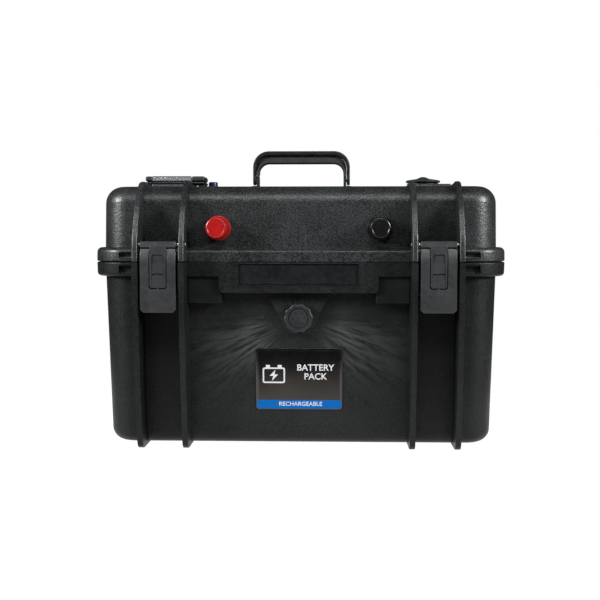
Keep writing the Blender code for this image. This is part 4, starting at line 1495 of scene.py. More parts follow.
@dataclass(frozen=True)
class Latch:
    """A double-throw latch: a T-shaped link hangs from the lid's pin and a lever turns on its pegs."""

    sizes: CaseSizes
    half: float = 18.4 * MM
    neck_half: float = 8.6 * MM
    neck_low: float = 172 * MM
    peg: Flat = (-107.5 * MM, 204 * MM)

    def link(self) -> Piece:
        """The link about x = 0, with its stepped tongue, groove, pegs and bore."""
        bar = prism("link", mm((-112, 214), (-111.2, 219.6), (-110.4, 220.4), (-103, 220.4), (-100.5, 217),
            (-103, 214)), Axis.X, -self.half, self.half)
        soften(bar, 0.7 * MM, 3)
        neck = prism("neck", mm((-112, 216), (-113, 200), (-112.5, 172), (-108, 172), (-104, 200), (-105, 216)),
            Axis.X, -self.neck_half, self.neck_half)
        soften_where(neck, lambda m, d: abs(d.y) > 0.9 and m.z < self.neck_low + 0.5 * MM, 1.8 * MM, 1)
        soften(neck, 0.55 * MM, 3)
        fuse(bar, neck)
        panel = prism("panel", mm((-6.6, 173.8), (6.6, 173.8), (6.6, 204.4), (5.4, 206.6), (-5.4, 206.6),
            (-6.6, 204.4)), Axis.Y, -115 * MM, -112.2 * MM)
        step = prism("step", mm((-6.2, 198.6), (6.2, 198.6), (6.2, 204.2), (5.2, 206.4), (-5.2, 206.4),
            (-6.2, 204.2)), Axis.Y, -115 * MM, -111.5 * MM)
        groove = prism("groove", round_window(6.0, 185, 187.2, 1.0, 5), Axis.Y, -114.5 * MM, -111.0 * MM)
        for cutter in (panel, step, groove):
            carve(bar, cutter)
        fuse(bar, rod("peg", (0.0, *self.peg), Axis.X, 2 * MM, -14 * MM, 14 * MM, 0.3 * MM, 24))
        carve(bar, rod("bore", (0.0, *self.sizes.latch_pin), Axis.X, self.sizes.latch_bore, -25 * MM, 25 * MM,
            0.0, 24))
        return bar

    def lever(self) -> Piece:
        """The lever about x = 0, with its two arms, window, plate and hook."""
        outline = mm((-109.8, 212.8), (-113.1, 203.2), (-113.5, 196), (-112.9, 172.5), (-113.5, 165),
            (-113.7, 159))
        outline += mm((-113.3, 152), (-112.5, 146.7), (-108.5, 146.7), (-106, 151), (-101.6, 152),
            (-101.6, 156))
        outline += mm((-107, 158), (-107.5, 190), (-104, 199), (-104, 209), (-106, 212.8))
        lever = prism("lever", outline, Axis.X, -self.half, self.half)
        soften_where(lever, lambda m, d: abs(d.y) > 0.9 and m.z < 147.4 * MM and abs(m.x) > self.half
            - 0.1 * MM, 3.2 * MM, 1)
        soften(lever, 0.6 * MM, 3, 46)
        side, low = 9.3 * MM, 171 * MM
        window = [(-side, 217 * MM), (-side, low + 1.8 * MM), (-side + 1.8 * MM, low), (-1.1 * MM, low)]
        window += [(-1.1 * MM, low + 0.9 * MM), (1.1 * MM, low + 0.9 * MM), (1.1 * MM, low),
            (side - 1.8 * MM, low)]
        window += [(side, low + 1.8 * MM), (side, 217 * MM)]
        carve(lever, prism("window", window, Axis.Y, -120 * MM, -95 * MM))
        soften_where(lever, lambda m, d: abs(m.z - low) < 0.2 * MM and abs(d.x) > 0.9 and m.y < -111 * MM,
            0.7 * MM, 2)
        carve(lever, rod("peg_bore", (0.0, *self.peg), Axis.X, 2.3 * MM, -14.5 * MM, 14.5 * MM, 0.0, 24))
        return lever

    def build(self) -> None:
        """Builds both latches and their pins."""
        link, lever = self.link(), self.lever()
        for side in Side:
            x = side.value * self.sizes.pair_x
            move = (x, 0.0, 0.0)
            for piece, word in ((link, "link"), (lever, "lever")):
                copy = shifted(piece, f"{word}_{side.label}", move)
                dress(copy, LATCH, f"latch_{word}_body_{side.label}",
                    [f"latch_{word}_{side.label}"], 28)
            pin = rod(f"latch_rod_{side.label}", (x, *self.sizes.latch_pin), Axis.X, 1.5 * MM, x - 28 * MM, x
                + 28 * MM, 0.35 * MM, 24)
            dress(pin, STEEL, home(f"latch_pin_{side.label}"), [f"latch_pin_{side.label}"])
        discard(link, lever)


@dataclass(frozen=True)
class HingeHardware:
    """The rear hinge's steel pins."""

    sizes: CaseSizes

    def build(self) -> None:
        """Builds both pins, with a groove near each end."""
        s = self.sizes
        for side in Side:
            x = side.value * s.pair_x
            half = []
            for place, radius in ((28, 1.6), (27.5, 2), (26, 2), (25.8, 1.7), (25.2, 1.7), (25, 2)):
                half.append((radius * MM, place * MM))
            profile = [(0.0, 28 * MM), *half] + [(r, -p) for r, p in reversed(half)] + [(0.0, -28 * MM)]
            pin = lathe(f"hinge_rod_{side.label}", profile, (x, s.hinge_y, s.split_z), Axis.X, 24)
            dress(pin, STEEL, home(f"hinge_pin_{side.label}"), [f"hinge_pin_{side.label}"])


@dataclass(frozen=True)
class Handle:
    """The folding handle: a bail, a soft grip inside its top, and two brackets on the lid."""

    sizes: CaseSizes
    half: float = 55 * MM
    top: float = 322 * MM
    pivot: float = 289 * MM

    @staticmethod
    def arch(half: float, high: float, outer: float, leg: float, thick: float, low: float,
            inner: float) -> list[Flat]:
        """Front view of an arch, with its own corner radius outside and inside."""
        points = [(-half, low)] + arc((-half + outer, high - outer), outer, 180, 90, 10)
        points += arc((half - outer, high - outer), outer, 90, 0, 10) + [(half, low)]
        side, under = half - leg, high - thick
        points += [(side, low)] + arc((side - inner, under - inner), inner, 0, 90, 10)
        points += arc((-side + inner, under - inner), inner, 90, 180, 10) + [(-side, low)]
        return points

    def bail(self) -> Piece:
        """The rim of the handle, down to its two pivot bosses."""
        y = self.sizes.middle_y
        outline = self.arch(self.half, self.top, 18 * MM, 3.6 * MM, 5 * MM, self.pivot, 14.4 * MM)
        rim = soften(prism("bail", outline, Axis.Y, y - 5.5 * MM, y + 5.5 * MM), 1.3 * MM, 4, 50)
        bosses, bores = [], []
        for side in Side:
            bosses.append(rod("boss", (0.0, y, self.pivot), Axis.X, 5.4 * MM,
                *side.span(self.half - 3.4 * MM, self.half), 0.7 * MM, 36))
            bores.append(rod("bore", (0.0, y, self.pivot), Axis.X, 2.2 * MM, *side.span(46 * MM, 60 * MM), 0.0,
                24))
        fuse(rim, *bosses)
        carve(rim, *bores)
        nicks = []
        for x in (-6 * MM, 12 * MM):
            for face in (-1, 1):
                nicks.append(block("nick", (x - 0.8 * MM, y + face * 3.5 * MM, 316.5 * MM),
                    (x + 0.8 * MM, y + face * 6.5 * MM, 318.2 * MM)))
        return carve(rim, *nicks)

    def grip(self) -> Piece:
        """The soft bar inside the rim, with a channel under the rim on both faces."""
        y = self.sizes.middle_y
        half, high = self.half - 3.6 * MM - 0.3 * MM, self.top - 5.3 * MM
        outline = self.arch(half, high, 14.4 * MM, 3.4 * MM, 9 * MM, 294.9 * MM, 11 * MM)
        bar = prism("grip", outline, Axis.Y, y - 7 * MM, y + 7 * MM)
        soften_where(bar, lambda m, d: abs(m.y - y) > 6.9 * MM and m.z > 295.2 * MM, 1.5 * MM, 4)
        channel = self.arch(half + 2 * MM, high + 2 * MM, 16.4 * MM, 3.0 * MM, 4.6 * MM, 300 * MM, 18 * MM)
        cutters = [prism("channel", channel, Axis.Y, y + face * 1.5 * MM, y + face * 9 * MM)
            for face in (-1, 1)]
        return carve(bar, *cutters)

    def bracket(self, side: Side) -> Piece:
        """One foot with its ear and pivot pin."""
        y, k = self.sizes.middle_y, side.value
        roof = self.sizes.roof_z
        foot = block("foot", (k * 44 * MM, y - 11 * MM, roof + 0.3 * MM),
            (k * 58 * MM, y + 11 * MM, roof + 2.4 * MM), 0.7 * MM, 3)
        fuse(foot, block("saddle", (k * 51.3 * MM, y - 3 * MM, roof + 1 * MM),
            (k * 55.2 * MM, y + 3 * MM, roof + 4 * MM), 0.4 * MM, 2))
        ear = [(y - 5.5 * MM, roof + 1 * MM), (y + 5.5 * MM, roof + 1 * MM)]
        ear += arc((y, self.pivot), 5.4 * MM, 15, 165, 14)
        fuse(foot, soften(prism("ear", ear, Axis.X, *side.span(47.8 * MM, 51 * MM)), 0.6 * MM, 3))
        pin = rod("pin", (0.0, y, self.pivot), Axis.X, 1.9 * MM, *side.span(50 * MM, 54.6 * MM), 0.3 * MM, 24)
        return fuse(foot, pin)

    def build(self) -> None:
        """Builds the handle and its brackets."""
        dress(self.bail(), HANDLE, "handle", ["handle_bail"], 30)
        dress(self.grip(), GRIP, "handle", ["handle_grip"], 30)
        for side in Side:
            bracket = self.bracket(side)
            bracket.name = f"bracket_{side.label}"
            dress(bracket, HANDLE, "lid", [f"handle_bracket_{side.label}"], 30)
            for face in (-1, 1):
                seat = (side.value * 54.6 * MM, self.sizes.middle_y + face * 8 * MM, self.sizes.roof_z
                    + 2.3 * MM)
                head = screw_head(f"bracket_screw_{side.label}_{'front' if face < 0 else 'rear'}", seat, Axis.Z,
                    1.0, 2.1 * MM)
                dress(head, STEEL, "lid")


@dataclass(frozen=True)
class Terminal:
    """One battery post through the lid's front: insulator, stud, nuts and pull-off cap."""

    label: str
    x: float
    finish: Finish
    slot: str
    z: float = TERMINAL_Z

    def turned(self, name: str, pairs: Sequence[Flat], steps: int = 64) -> Piece:
        """A part turned about the post's axis, from (radius, y) pairs in millimetres."""
        return lathe(f"{self.label}_{name}", mm(*pairs), (self.x, 0.0, self.z), Axis.Y, steps)

    def insulator(self) -> None:
        """The collar outside the wall and its tube through it."""
        profile = [(4.4, -83), (12.0, -83), (12.7, -82.7), (13.2, -82.0), (13.2, -78.4), (13.0, -77.6),
            (6, -77.6), (6, -66), (4.4, -66)]
        dress(self.turned("collar", profile), self.finish, "lid", [f"{self.label}_insulator"], 30)

    def stud(self) -> None:
        """The threaded brass stud."""
        thread = threaded(-97.4 * MM, -84 * MM, 4 * MM, 1.25 * MM) + [(4 * MM, -83.6 * MM), (4 * MM, -66 * MM)]
        thread += threaded(-65.6 * MM, -52.6 * MM, 4 * MM, 1.25 * MM)
        profile = [(0.0, -98 * MM), (3.3 * MM, -98 * MM), *thread, (3.2 * MM, -52 * MM), (0.0, -52 * MM)]
        post = lathe(f"{self.label}_post", profile, (self.x, 0.0, self.z), Axis.Y, 40)
        dress(post, BRASS, "lid", [f"{self.label}_stud"], 60, weighted=False)

    def nut(self) -> None:
        """The inner nut."""
        body = prism(f"{self.label}_hex", hexagon((self.x, self.z), 8 * MM), Axis.Y, -65.5 * MM, -59.2 * MM)
        soften(body, 0.5 * MM, 2)
        carve(body, rod("bore", (self.x, 0.0, self.z), Axis.Y, 4.6 * MM, -70 * MM, -55 * MM, 0.0, 32))
        dress(body, STEEL, "lid", [f"{self.label}_nut"])

    def cap(self) -> None:
        """The hollow cap, with a fine rim round its dished face."""
        profile = [(0, -103.4), (4.5, -103.5), (8.4, -103.6), (8.9, -103.95), (9.5, -104), (10.3, -103.6),
            (10.8, -102.8), (10.95, -98), (11.05, -97.6), (11.2, -90), (11.4, -83.4), (5, -83.4), (5, -99),
            (0, -99)]
        dress(self.turned("hood", profile, 72), self.finish, f"{self.label}_cap_body",
            [f"{self.label}_cap"], 30)

    def build(self) -> None:
        """Builds the post's pieces."""
        self.insulator()
        self.stud()
        self.nut()
        self.cap()


@dataclass(frozen=True)
class PurgeValve:
    """The scalloped knob and its bush under the front band."""

    z: float = VALVE_Z
    radius: float = 15.5 * MM
    lobes: int = 10

    def knob(self) -> Piece:
        """The knob: scalloped rim, dished disc, and a low cap with vents."""
        points = []
        per = 10
        for i in range(self.lobes * per):
            wave = math.tau * i / per
            radius = self.radius - 1.1 * MM * (0.5 - 0.5 * math.cos(wave))
            angle = math.tau * (i + per / 8) / (self.lobes * per)
            points.append((radius * math.cos(angle), self.z + radius * math.sin(angle)))
        knob = soften(prism("vent_knob", points, Axis.Y, -91.5 * MM, -83 * MM), 1.4 * MM, 4, 60)
        centre = (0.0, 0.0, self.z)
        carve(knob, rod("dish", centre, Axis.Y, 11 * MM, -93 * MM, -90.3 * MM, 0.0, 56))
        disc = lathe("disc", mm((0, -90.95), (7.5, -90.9), (9.6, -90.6), (10.0, -90.2), (10.0, -89), (0, -89)),
            centre, Axis.Y, 56)
        fuse(knob, disc)
        fuse(knob, rod("stem", centre, Axis.Y, 4.1 * MM, -84 * MM, -70 * MM, 0.4 * MM, 32))
        vents = []
        for x, z in ring(6, 6.2 * MM):
            vents.append(rod("vent", (x, 0.0, self.z + z), Axis.Y, 0.7 * MM, -92 * MM, -90.4 * MM, 0.0, 12))
        return carve(knob, *vents)

    def build(self) -> None:
        """Builds the bush and the knob."""
        profile = mm((4.5, -66), (8, -66), (8, -81.3), (11, -81.3), (11, -82.1), (10.6, -82.5), (4.5, -82.5))
        bush = lathe("vent_bush", profile, (0.0, 0.0, self.z), Axis.Y, 56)
        dress(bush, BLACK_GLOSS, "base", ["valve_bush"])
        dress(self.knob(), KNOB, "valve_knob_body", ["valve_knob"], 28)


class NamePlate:
    """The blank plate in the band's recess."""

    def build(self) -> None:
        """Builds the plate, with a narrow raised border."""
        low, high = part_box("front_name_plate")
        outline = rounded_rectangle((low.x, low.z), (high.x, high.z), 0.9 * MM, 4)
        plate = soften(prism("name_plate", outline, Axis.Y, low.y, high.y), 0.25 * MM, 2, 50)
        edge = 1.4 * MM
        panel = rounded_rectangle((low.x + edge, low.z + edge), (high.x - edge, high.z - edge), 0.8 * MM, 4)
        carve(plate, soften(prism("panel", panel, Axis.Y, low.y - 1 * MM, low.y + 0.35 * MM), 0.2 * MM, 2, 50))
        dress(plate, PLATE, "base", ["front_name_plate"])


@dataclass(frozen=True)
class RatingLabel:
    """The domed label on the leaning front wall, with a battery mark and plain words."""

    sizes: CaseSizes
    half_wide: float = 46.4 * MM
    half_tall: float = 33.5 * MM
    z: float = 72.95 * MM
    thick: float = 1.5 * MM

    def put(self, piece: Piece, finish: Finish, angle: float = 32.0, nodes: Sequence[str] = ()) -> None:
        """Lays a flat piece on the wall and dresses it."""
        bake_place(piece, self.sizes.on_wall(self.z))
        dress(piece, finish, "base", nodes, angle)

    def dome(self) -> None:
        """The resin body, high in the middle, and a panel on it whose colour is a painted reflection."""
        outline = rounded_rectangle((-self.half_wide, -self.half_tall), (self.half_wide, self.half_tall),
            3.6 * MM, 8)
        body = prism("label_dome", outline, Axis.Z, -0.35 * MM, self.thick - 0.45 * MM)
        with editing(body, Kind.FACE, lambda m, d: d.z > 0.9):
            for inward, rise in ((0.28, 0.20), (0.42, 0.15), (0.7, 0.08), (1.3, 0.02)):
                bpy.ops.mesh.inset(thickness=inward * MM, depth=rise * MM)
        self.put(body, LABEL_RESIN, 60.0, ["rating_label"])
        side, low, high = self.half_wide - 3 * MM, -self.half_tall + 1.6 * MM, self.half_tall - 3.2 * MM
        # a panel whose colour is a painted reflection, dark at the top and lighter at the foot
        reflection_panel = prism("label_ground", rounded_rectangle((-side, low), (side, high), 1.4 * MM, 5), Axis.Z,
            self.thick - 0.1 * MM, self.thick + 0.012 * MM)
        self.put(reflection_panel, LABEL_PAINTED_REFLECTION)

    def band(self) -> None:
        """The blue band along the foot of the label."""
        side, low = self.half_wide - 1.5 * MM, -self.half_tall + 1.4 * MM
        outline = arc((side - 2.4 * MM, low + 2.4 * MM), 2.4 * MM, 270, 360, 6) + [(side, low + 9.2 * MM)]
        outline += [(-side, low + 9.2 * MM)] + arc((-side + 2.4 * MM, low + 2.4 * MM), 2.4 * MM, 180, 270, 6)
        band = prism("label_band", outline, Axis.Z, self.thick - 0.1 * MM, self.thick + 0.04 * MM)
        self.put(band, LABEL_BLUE)
        words = lettering("label_band_words", "RECHARGEABLE", 6.4 * MM, 0.06 * MM, 0.05 * MM)
        bake_place(words, Matrix.Translation((1.5 * MM, low + 4.9 * MM, self.thick + 0.05 * MM)))
        self.put(words, LABEL_WHITE)

    def words(self) -> None:
        """Two plain words at the right."""
        for name, text, at in (("upper", "BATTERY", (17.5, 12.2)), ("lower", "PACK", (17.5, 2.6))):
            line = lettering(f"label_words_{name}", text, 9.6 * MM, 0.08 * MM, 0.14 * MM)
            bake_place(line, Matrix.Translation((at[0] * MM, at[1] * MM, self.thick - 0.02 * MM)))
            self.put(line, LABEL_WHITE)

    def mark(self) -> None:
        """A battery with a bolt in it, at the left."""
        top, low = self.thick + 0.06 * MM, self.thick - 0.02 * MM
        frame = prism("label_mark", rounded_rectangle(mm((-39, -4.5))[0], mm((-15, 12.5))[0], 2.2 * MM), Axis.Z,
            low, top)
        carve(frame, prism("hole", rounded_rectangle(mm((-37.4, -2.9))[0], mm((-16.6, 10.9))[0], 1.2 * MM),
            Axis.Z, low - MM, top + MM))
        posts = [block("post", (x * MM, 12.4 * MM, low), ((x + 4.4) * MM, 15.2 * MM, top))
            for x in (-35.5, -22.9)]
        fuse(frame, *posts)
        self.put(frame, LABEL_WHITE)
        bolt = prism("label_bolt", mm((-25.2, 10.0), (-31.6, 3.4), (-27.6, 3.4), (-29.0, -2.0), (-22.4, 5.0),
            (-26.4, 5.0)), Axis.Z, low, top)
        self.put(bolt, LABEL_WHITE)

    def build(self) -> None:
        """Builds the label."""
        self.dome()
        self.band()
        self.words()
        self.mark()


@dataclass(frozen=True)
class Meter:
    """The charge meter under its hinged clear cover, on the lid's left."""

    sizes: CaseSizes

    def housing(self) -> None:
        """The black housing with its screen recess and hinge lugs."""
        low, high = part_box("meter_housing")
        rear = high.y - 3 * MM
        body = block("meter_case", (low.x, low.y, low.z), (high.x, rear, 287 * MM), 1.4 * MM, 4)
        middle = (low.x + high.x) / 2
        y = self.sizes.middle_y
        carve(body, block("recess", (middle - 24 * MM, y - 11 * MM, 285.5 * MM),
            (middle + 24 * MM, y + 11 * MM, 289 * MM), 0.4 * MM, 2))
        for x in (-28 * MM, 28 * MM):
            lug = block("lug", (middle + x - 3 * MM, rear - 1 * MM, 285 * MM),
                (middle + x + 3 * MM, high.y, high.z), 0.8 * MM, 3)
            fuse(body, lug)
        dress(body, BLACK_GLOSS, "lid", ["meter_housing"])
        foot = block("meter_foot", (high.x - 7.3 * MM, low.y + 2 * MM, self.sizes.roof_z - 0.4 * MM),
            (high.x - 0.7 * MM, rear - 2 * MM, low.z - 0.1 * MM), 0.8 * MM, 3)
        dress(foot, BLACK_GLOSS, "lid")

    def screen(self) -> None:
        """The display, with a charge scale and figures."""
        low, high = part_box("meter_screen")
        glass = block("meter_glass", tuple(low), tuple(high), 0.25 * MM, 2)
        dress(glass, SCREEN, "lid", ["meter_screen"])
        bars = []
        for i in range(5):
            x = low.x + (4 + i * 4.6) * MM
            tall = (4 + i * 1.6) * MM
            outline = rounded_rectangle((x, low.y + 4 * MM), (x + 3.2 * MM, low.y + 4 * MM + tall), 0.4 * MM, 3)
            bars.append(prism("bar", outline, Axis.Z, high.z - 0.02 * MM, high.z + 0.1 * MM))
        dress(gather(*bars, name="meter_bars"), SCREEN_INK, "lid")
        figures = lettering("meter_figures", "100%", 8.5 * MM, 0.1 * MM, 0.1 * MM)
        bake_place(figures, Matrix.Translation((high.x - 11 * MM, (low.y + high.y) / 2, high.z - 0.02 * MM)))
        dress(figures, SCREEN_INK, "lid")

    def cover(self) -> None:
        """The clear cover with its dark ends, hinge tongue and finger tab."""
        low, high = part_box("meter_cover")
        y = self.sizes.middle_y
        middle = (low.x + high.x) / 2
        front = low.y
        rear = high.y - 4.4 * MM
        left, right, under, roof = low.x + 8 * MM, high.x - 15 * MM, 287.3 * MM, high.z
        lid = block("meter_window", (left, front + 0.3 * MM, under + 0.8 * MM), (right, rear, roof - 0.8 * MM),
            0.8 * MM, 3)
        fuse(lid, block("tongue", (middle - 24 * MM, rear - 1 * MM, 288.2 * MM),
            (right - 1 * MM, high.y, 290.6 * MM), 0.5 * MM, 2))
        carve(lid, block("hollow", (left + 2 * MM, y - 12 * MM, 286 * MM),
            (right - 2 * MM, y + 12 * MM, 291 * MM)))
        dress(lid, CLEAR, "meter_cover_body", ["meter_cover"])
        rails = [block("rail", (left + 0.1 * MM, front, z), (right - 0.1 * MM, front + 2.4 * MM, z + 0.7 * MM),
            0.2 * MM, 2) for z in (under, roof - 0.7 * MM)]
        dress(gather(*rails, name="meter_cover_rails"), BLACK_GLOSS, "meter_cover_body")
        for start, stop, word in ((low.x, left - 0.1 * MM, "left"), (right + 0.1 * MM, high.x, "right")):
            end = block(f"meter_cover_{word}", (start, front, under), (stop, rear, roof), 2.2 * MM, 5)
            ridges = [block("ridge", (start + (2.6 + 1.6 * i) * MM, front + 4 * MM, roof - 0.5 * MM),
                (start + (3.4 + 1.6 * i) * MM, rear - 4 * MM, roof + 1 * MM)) for i in range(3)]
            carve(end, *ridges)
            dress(end, PART_BLACK, "meter_cover_body")

    def build(self) -> None:
        """Builds the meter."""
        self.housing()
        self.screen()
        self.cover()


@dataclass(frozen=True)
class PushSwitch:
    """The sealed push button beside the meter."""

    x: float = -101 * MM
    y: float = MIDDLE_Y

    def build(self) -> None:
        """Builds the bezel and the button."""
        centre = (self.x, self.y, 0.0)
        profile = mm((3.4, 270), (5, 270), (5, 279.3), (8, 279.3), (8, 281.4), (7.7, 281.9), (7.2, 282.4),
            (6, 282.4), (5.6, 282.0), (5.6, 280), (3.4, 280))
        dress(lathe("switch_ring", profile, centre, Axis.Z, 48), STEEL, "lid", ["switch_bezel"])
        profile = mm((0, 272), (3, 272), (3, 282.1), (5.0, 282.1), (5.2, 282.5), (5.2, 286.2), (4.9, 286.9),
            (3.8, 287.4), (2.2, 287.35), (0, 287.15))
        dress(lathe("switch_cap", profile, centre, Axis.Z, 48), SWITCH_BLUE, "switch_button_body",
            ["switch_button"])


@dataclass(frozen=True)
class ChargeSocket:
    """The charging socket on the lid's right, under a rubber cap on a strap."""

    x: float = 138 * MM
    y: float = MIDDLE_Y
    radius: float = 18 * MM

    def body(self) -> None:
        """The flanged socket, with contacts inside and a strap anchor behind."""
        centre = (self.x, self.y, 0.0)
        profile = mm((7, 262), (11, 262), (11, 283.9), (18, 283.9), (18, 285.0), (17.6, 285.4), (13.4, 286),
            (13, 285.9), (13, 284.8), (7, 284.8))
        body = lathe("socket_flange", profile, centre, Axis.Z, 72)
        rear = self.y + self.radius
        fuse(body, block("anchor", (self.x - 6 * MM, rear - 3 * MM, 283.9 * MM),
            (self.x + 6 * MM, rear + 3.5 * MM, 285.4 * MM), 0.5 * MM, 2))
        dress(body, BLACK_GLOSS, "lid", ["socket_body"])
        insert = lathe("socket_insert", mm((0, 264), (6.9, 264), (6.9, 275), (6.4, 275.6), (0, 275.6)), centre,
            Axis.Z, 48)
        holes = []
        for x, y in ring(3, 3.4 * MM):
            spot = (self.x + x, self.y + y, 0.0)
            holes.append(rod("contact_hole", spot, Axis.Z, 1.1 * MM, 270 * MM, 277 * MM, 0.0, 20))
        carve(insert, *holes)
        dress(insert, PART_BLACK, "lid")

    def cap(self) -> None:
        """The domed rubber cap, its plug and the strap."""
        centre = (self.x, self.y, 0.0)
        profile = mm((0, 292.7), (2.2, 292.6), (4, 292.0), (6, 291.0), (8.5, 290.3), (12, 289.8), (17.6, 288.9),
            (18.9, 288.4), (19.5, 287.5), (19.4, 286.8), (18.9, 286.4), (0, 286.4))
        cap = lathe("socket_lid", profile, centre, Axis.Z, 72)
        rear = self.y + self.radius
        fuse(cap, block("strap", (self.x - 5 * MM, rear - 3 * MM, 286.4 * MM),
            (self.x + 5 * MM, rear + 6.5 * MM, 287.4 * MM), 0.35 * MM, 2))
        fuse(cap, rod("plug", centre, Axis.Z, 6.4 * MM, 285.1 * MM, 287 * MM, 0.4 * MM, 40))
        dress(cap, GRIP, "socket_cap_body", ["socket_cap"])

    def build(self) -> None:
        """Builds the socket and its cap."""
        self.body()
        self.cap()


class LidSeal:
    """The rubber seal in the lid's rim, with a round nose."""

    def build(self) -> None:
        """Builds the seal from the frame's own ring, rounded along its lower edges."""
        seal = node_copy("lid_seal", "rim_seal")
        low, _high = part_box("lid_seal")
        soften_where(seal, lambda m, d: m.z < low.z + 0.1 * MM, 0.6 * MM, 3)
        dress(seal, SEAL, home("lid_seal"), ["lid_seal"])


# ---- inside ----


@dataclass(frozen=True)
class CellStack:
    """Eight prismatic cells in series, clamped by end plates and straps."""

    sizes: CaseSizes
    count: int = 8
    pitch: float = 37 * MM
    size: Place = (36.4 * MM, 130 * MM, 194 * MM)
    floor: float = 12.5 * MM
    post_y: float = 45 * MM

    def x(self, index: int) -> float:
        """Where a cell's middle stands."""
        return (index - (self.count - 1) / 2) * self.pitch

    def can(self) -> Piece:
        """One filmed cell about x = 0, with the film's seam folded over the top."""
        y, (wide, deep, tall) = self.sizes.middle_y, self.size
        can = block("can", (-wide / 2, y - deep / 2, self.floor), (wide / 2, y + deep / 2, self.floor + tall),
            2 * MM, 4)
        with editing(can, Kind.FACE, lambda m, d: d.z > 0.95):
            bpy.ops.mesh.inset(thickness=1.6 * MM)
            bpy.ops.mesh.inset(thickness=0.3 * MM, depth=-0.35 * MM)
        return can

    def top(self) -> Piece:
        """A cell's bare top plate with its posts and burst vent, about x = 0."""
        y, (wide, deep, tall) = self.sizes.middle_y, self.size
        high = self.floor + tall
        plate = block("plate", (-wide / 2 + 4 * MM, y - deep / 2 + 4 * MM, high - 0.4 * MM),
            (wide / 2 - 4 * MM, y + deep / 2 - 4 * MM, high + 0.25 * MM), 0.2 * MM, 2)
        posts = []
        for k in (-1, 1):
            profile = [(0.0, high), (8 * MM, high), (8 * MM, high + 1.2 * MM), (7.2 * MM, high + 1.6 * MM),
                (7.2 * MM, high + 3.3 * MM), (7.0 * MM, high + 3.5 * MM), (0.0, high + 3.5 * MM)]
            posts.append(lathe("post", profile, (0.0, y + k * self.post_y, 0.0), Axis.Z, 32))
        fuse(plate, *posts)
        vent = rounded_rectangle((-4.5 * MM, y - 11 * MM), (4.5 * MM, y + 11 * MM), 4.4 * MM, 8)
        carve(plate, prism("vent", vent, Axis.Z, high + 0.1 * MM, high + 1 * MM))
        return plate

    def cells(self) -> None:
        """All the cells."""
        can, top = self.can(), self.top()
        for index in range(self.count):
            move = (self.x(index), 0.0, 0.0)
            dress(shifted(can, f"cell_can_{index + 1}", move), CELL_FILM, "base",
                [f"cell_{index + 1}"])
            dress(shifted(top, f"cell_top_{index + 1}", move), CELL_CAP, "base")
        discard(can, top)

    def busbars(self) -> None:
        """The series links with their nuts, and the sense wires to the board."""
        for index in range(self.count - 1):
            low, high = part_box(f"busbar_{index + 1}")
            y = (low.y + high.y) / 2
            ends = (self.x(index), self.x(index + 1))
            outline = arc((ends[1], y), 8 * MM, -90, 90, 10) + arc((ends[0], y), 8 * MM, 90, 270, 10)
            bar = soften(prism(f"link_bar_{index + 1}", outline, Axis.Z, low.z, high.z), 0.35 * MM, 2, 50)
            dress(bar, COPPER, "base", [f"busbar_{index + 1}"])
            nuts = []
            for x in ends:
                nut = soften(prism("nut", hexagon((x, y), 5.2 * MM), Axis.Z, high.z, high.z + 3.6 * MM),
                    0.35 * MM, 2)
                nuts.append(fuse(nut, rod("stud", (x, y, 0.0), Axis.Z, 3 * MM, high.z, high.z + 5.4 * MM,
                    0.4 * MM, 24)))
            dress(gather(*nuts, name=f"link_nuts_{index + 1}"), STEEL, "base")
            middle = (ends[0] + ends[1]) / 2
            way = 1 if y > self.sizes.middle_y else -1
            lane = self.sizes.middle_y + way * (14 + 2.4 * (index % 4)) * MM
            route = [(middle, y - way * 5 * MM, high.z + 0.9 * MM),
                (middle + 2 * MM, y - way * 12 * MM, high.z + 2 * MM),
                (middle + 9 * MM, lane, high.z - 0.2 * MM), (148 * MM, lane, high.z - 0.2 * MM),
                (158 * MM, lane * 0.8, high.z - 9 * MM), (161 * MM, lane * 0.6, 186 * MM),
                (161.6 * MM, (lane - MIDDLE_Y) * 0.5 + MIDDLE_Y, 152 * MM)]
            sense = wire(f"sense_wire_{index + 1}", route, 0.7 * MM)
            dress(sense, YELLOW_SLEEVE if index % 2 else LEAD_RED, "base", weighted=False)

    def clamps(self) -> None:
        """End plates with pressed ribs, and steel straps with a crimped joint."""
        y, deep = self.sizes.middle_y, self.size[1]
        for side in Side:
            low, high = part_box(f"end_plate_{side.label}")
            plate = block(f"end_plate_{side.label}_dressed", tuple(low), tuple(high), 0.9 * MM, 3)
            face = high.x if side is Side.RIGHT else low.x
            slots = []
            for k in (-1.5, -0.5, 0.5, 1.5):
                outline = rounded_rectangle((y + k * 30 * MM - 9 * MM, 84 * MM),
                    (y + k * 30 * MM + 9 * MM, 142 * MM), 4 * MM)
                slots.append(prism("slot", outline, Axis.X, face - side.value * 1.2 * MM, face
                    + side.value * 2 * MM))
            carve(plate, *slots)
            dress(plate, ALUMINIUM, "base", [f"end_plate_{side.label}"])
        for word in ("lower", "upper"):
            strap = node_copy(f"pack_strap_{word}", f"band_{word}")
            dress(strap, STEEL, "base", [f"pack_strap_{word}"])
            low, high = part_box(f"pack_strap_{word}")
            front = y - deep / 2 - 1.1 * MM
            buckle = block(f"crimp_{word}", (30 * MM, front - 1.4 * MM, low.z - 1 * MM),
                (56 * MM, front + 0.1 * MM, high.z + 1 * MM), 0.6 * MM, 3)
            dents = [rod("dent", (x * MM, 0.0, (low.z + high.z) / 2), Axis.Y, 2.4 * MM, front - 3 * MM, front
                - 0.9 * MM) for x in (37, 49)]
            carve(buckle, *dents)
            dress(buckle, STEEL, "base")

    def build(self) -> None:
        """Builds the stack."""
        self.cells()
        self.busbars()
        self.clamps()


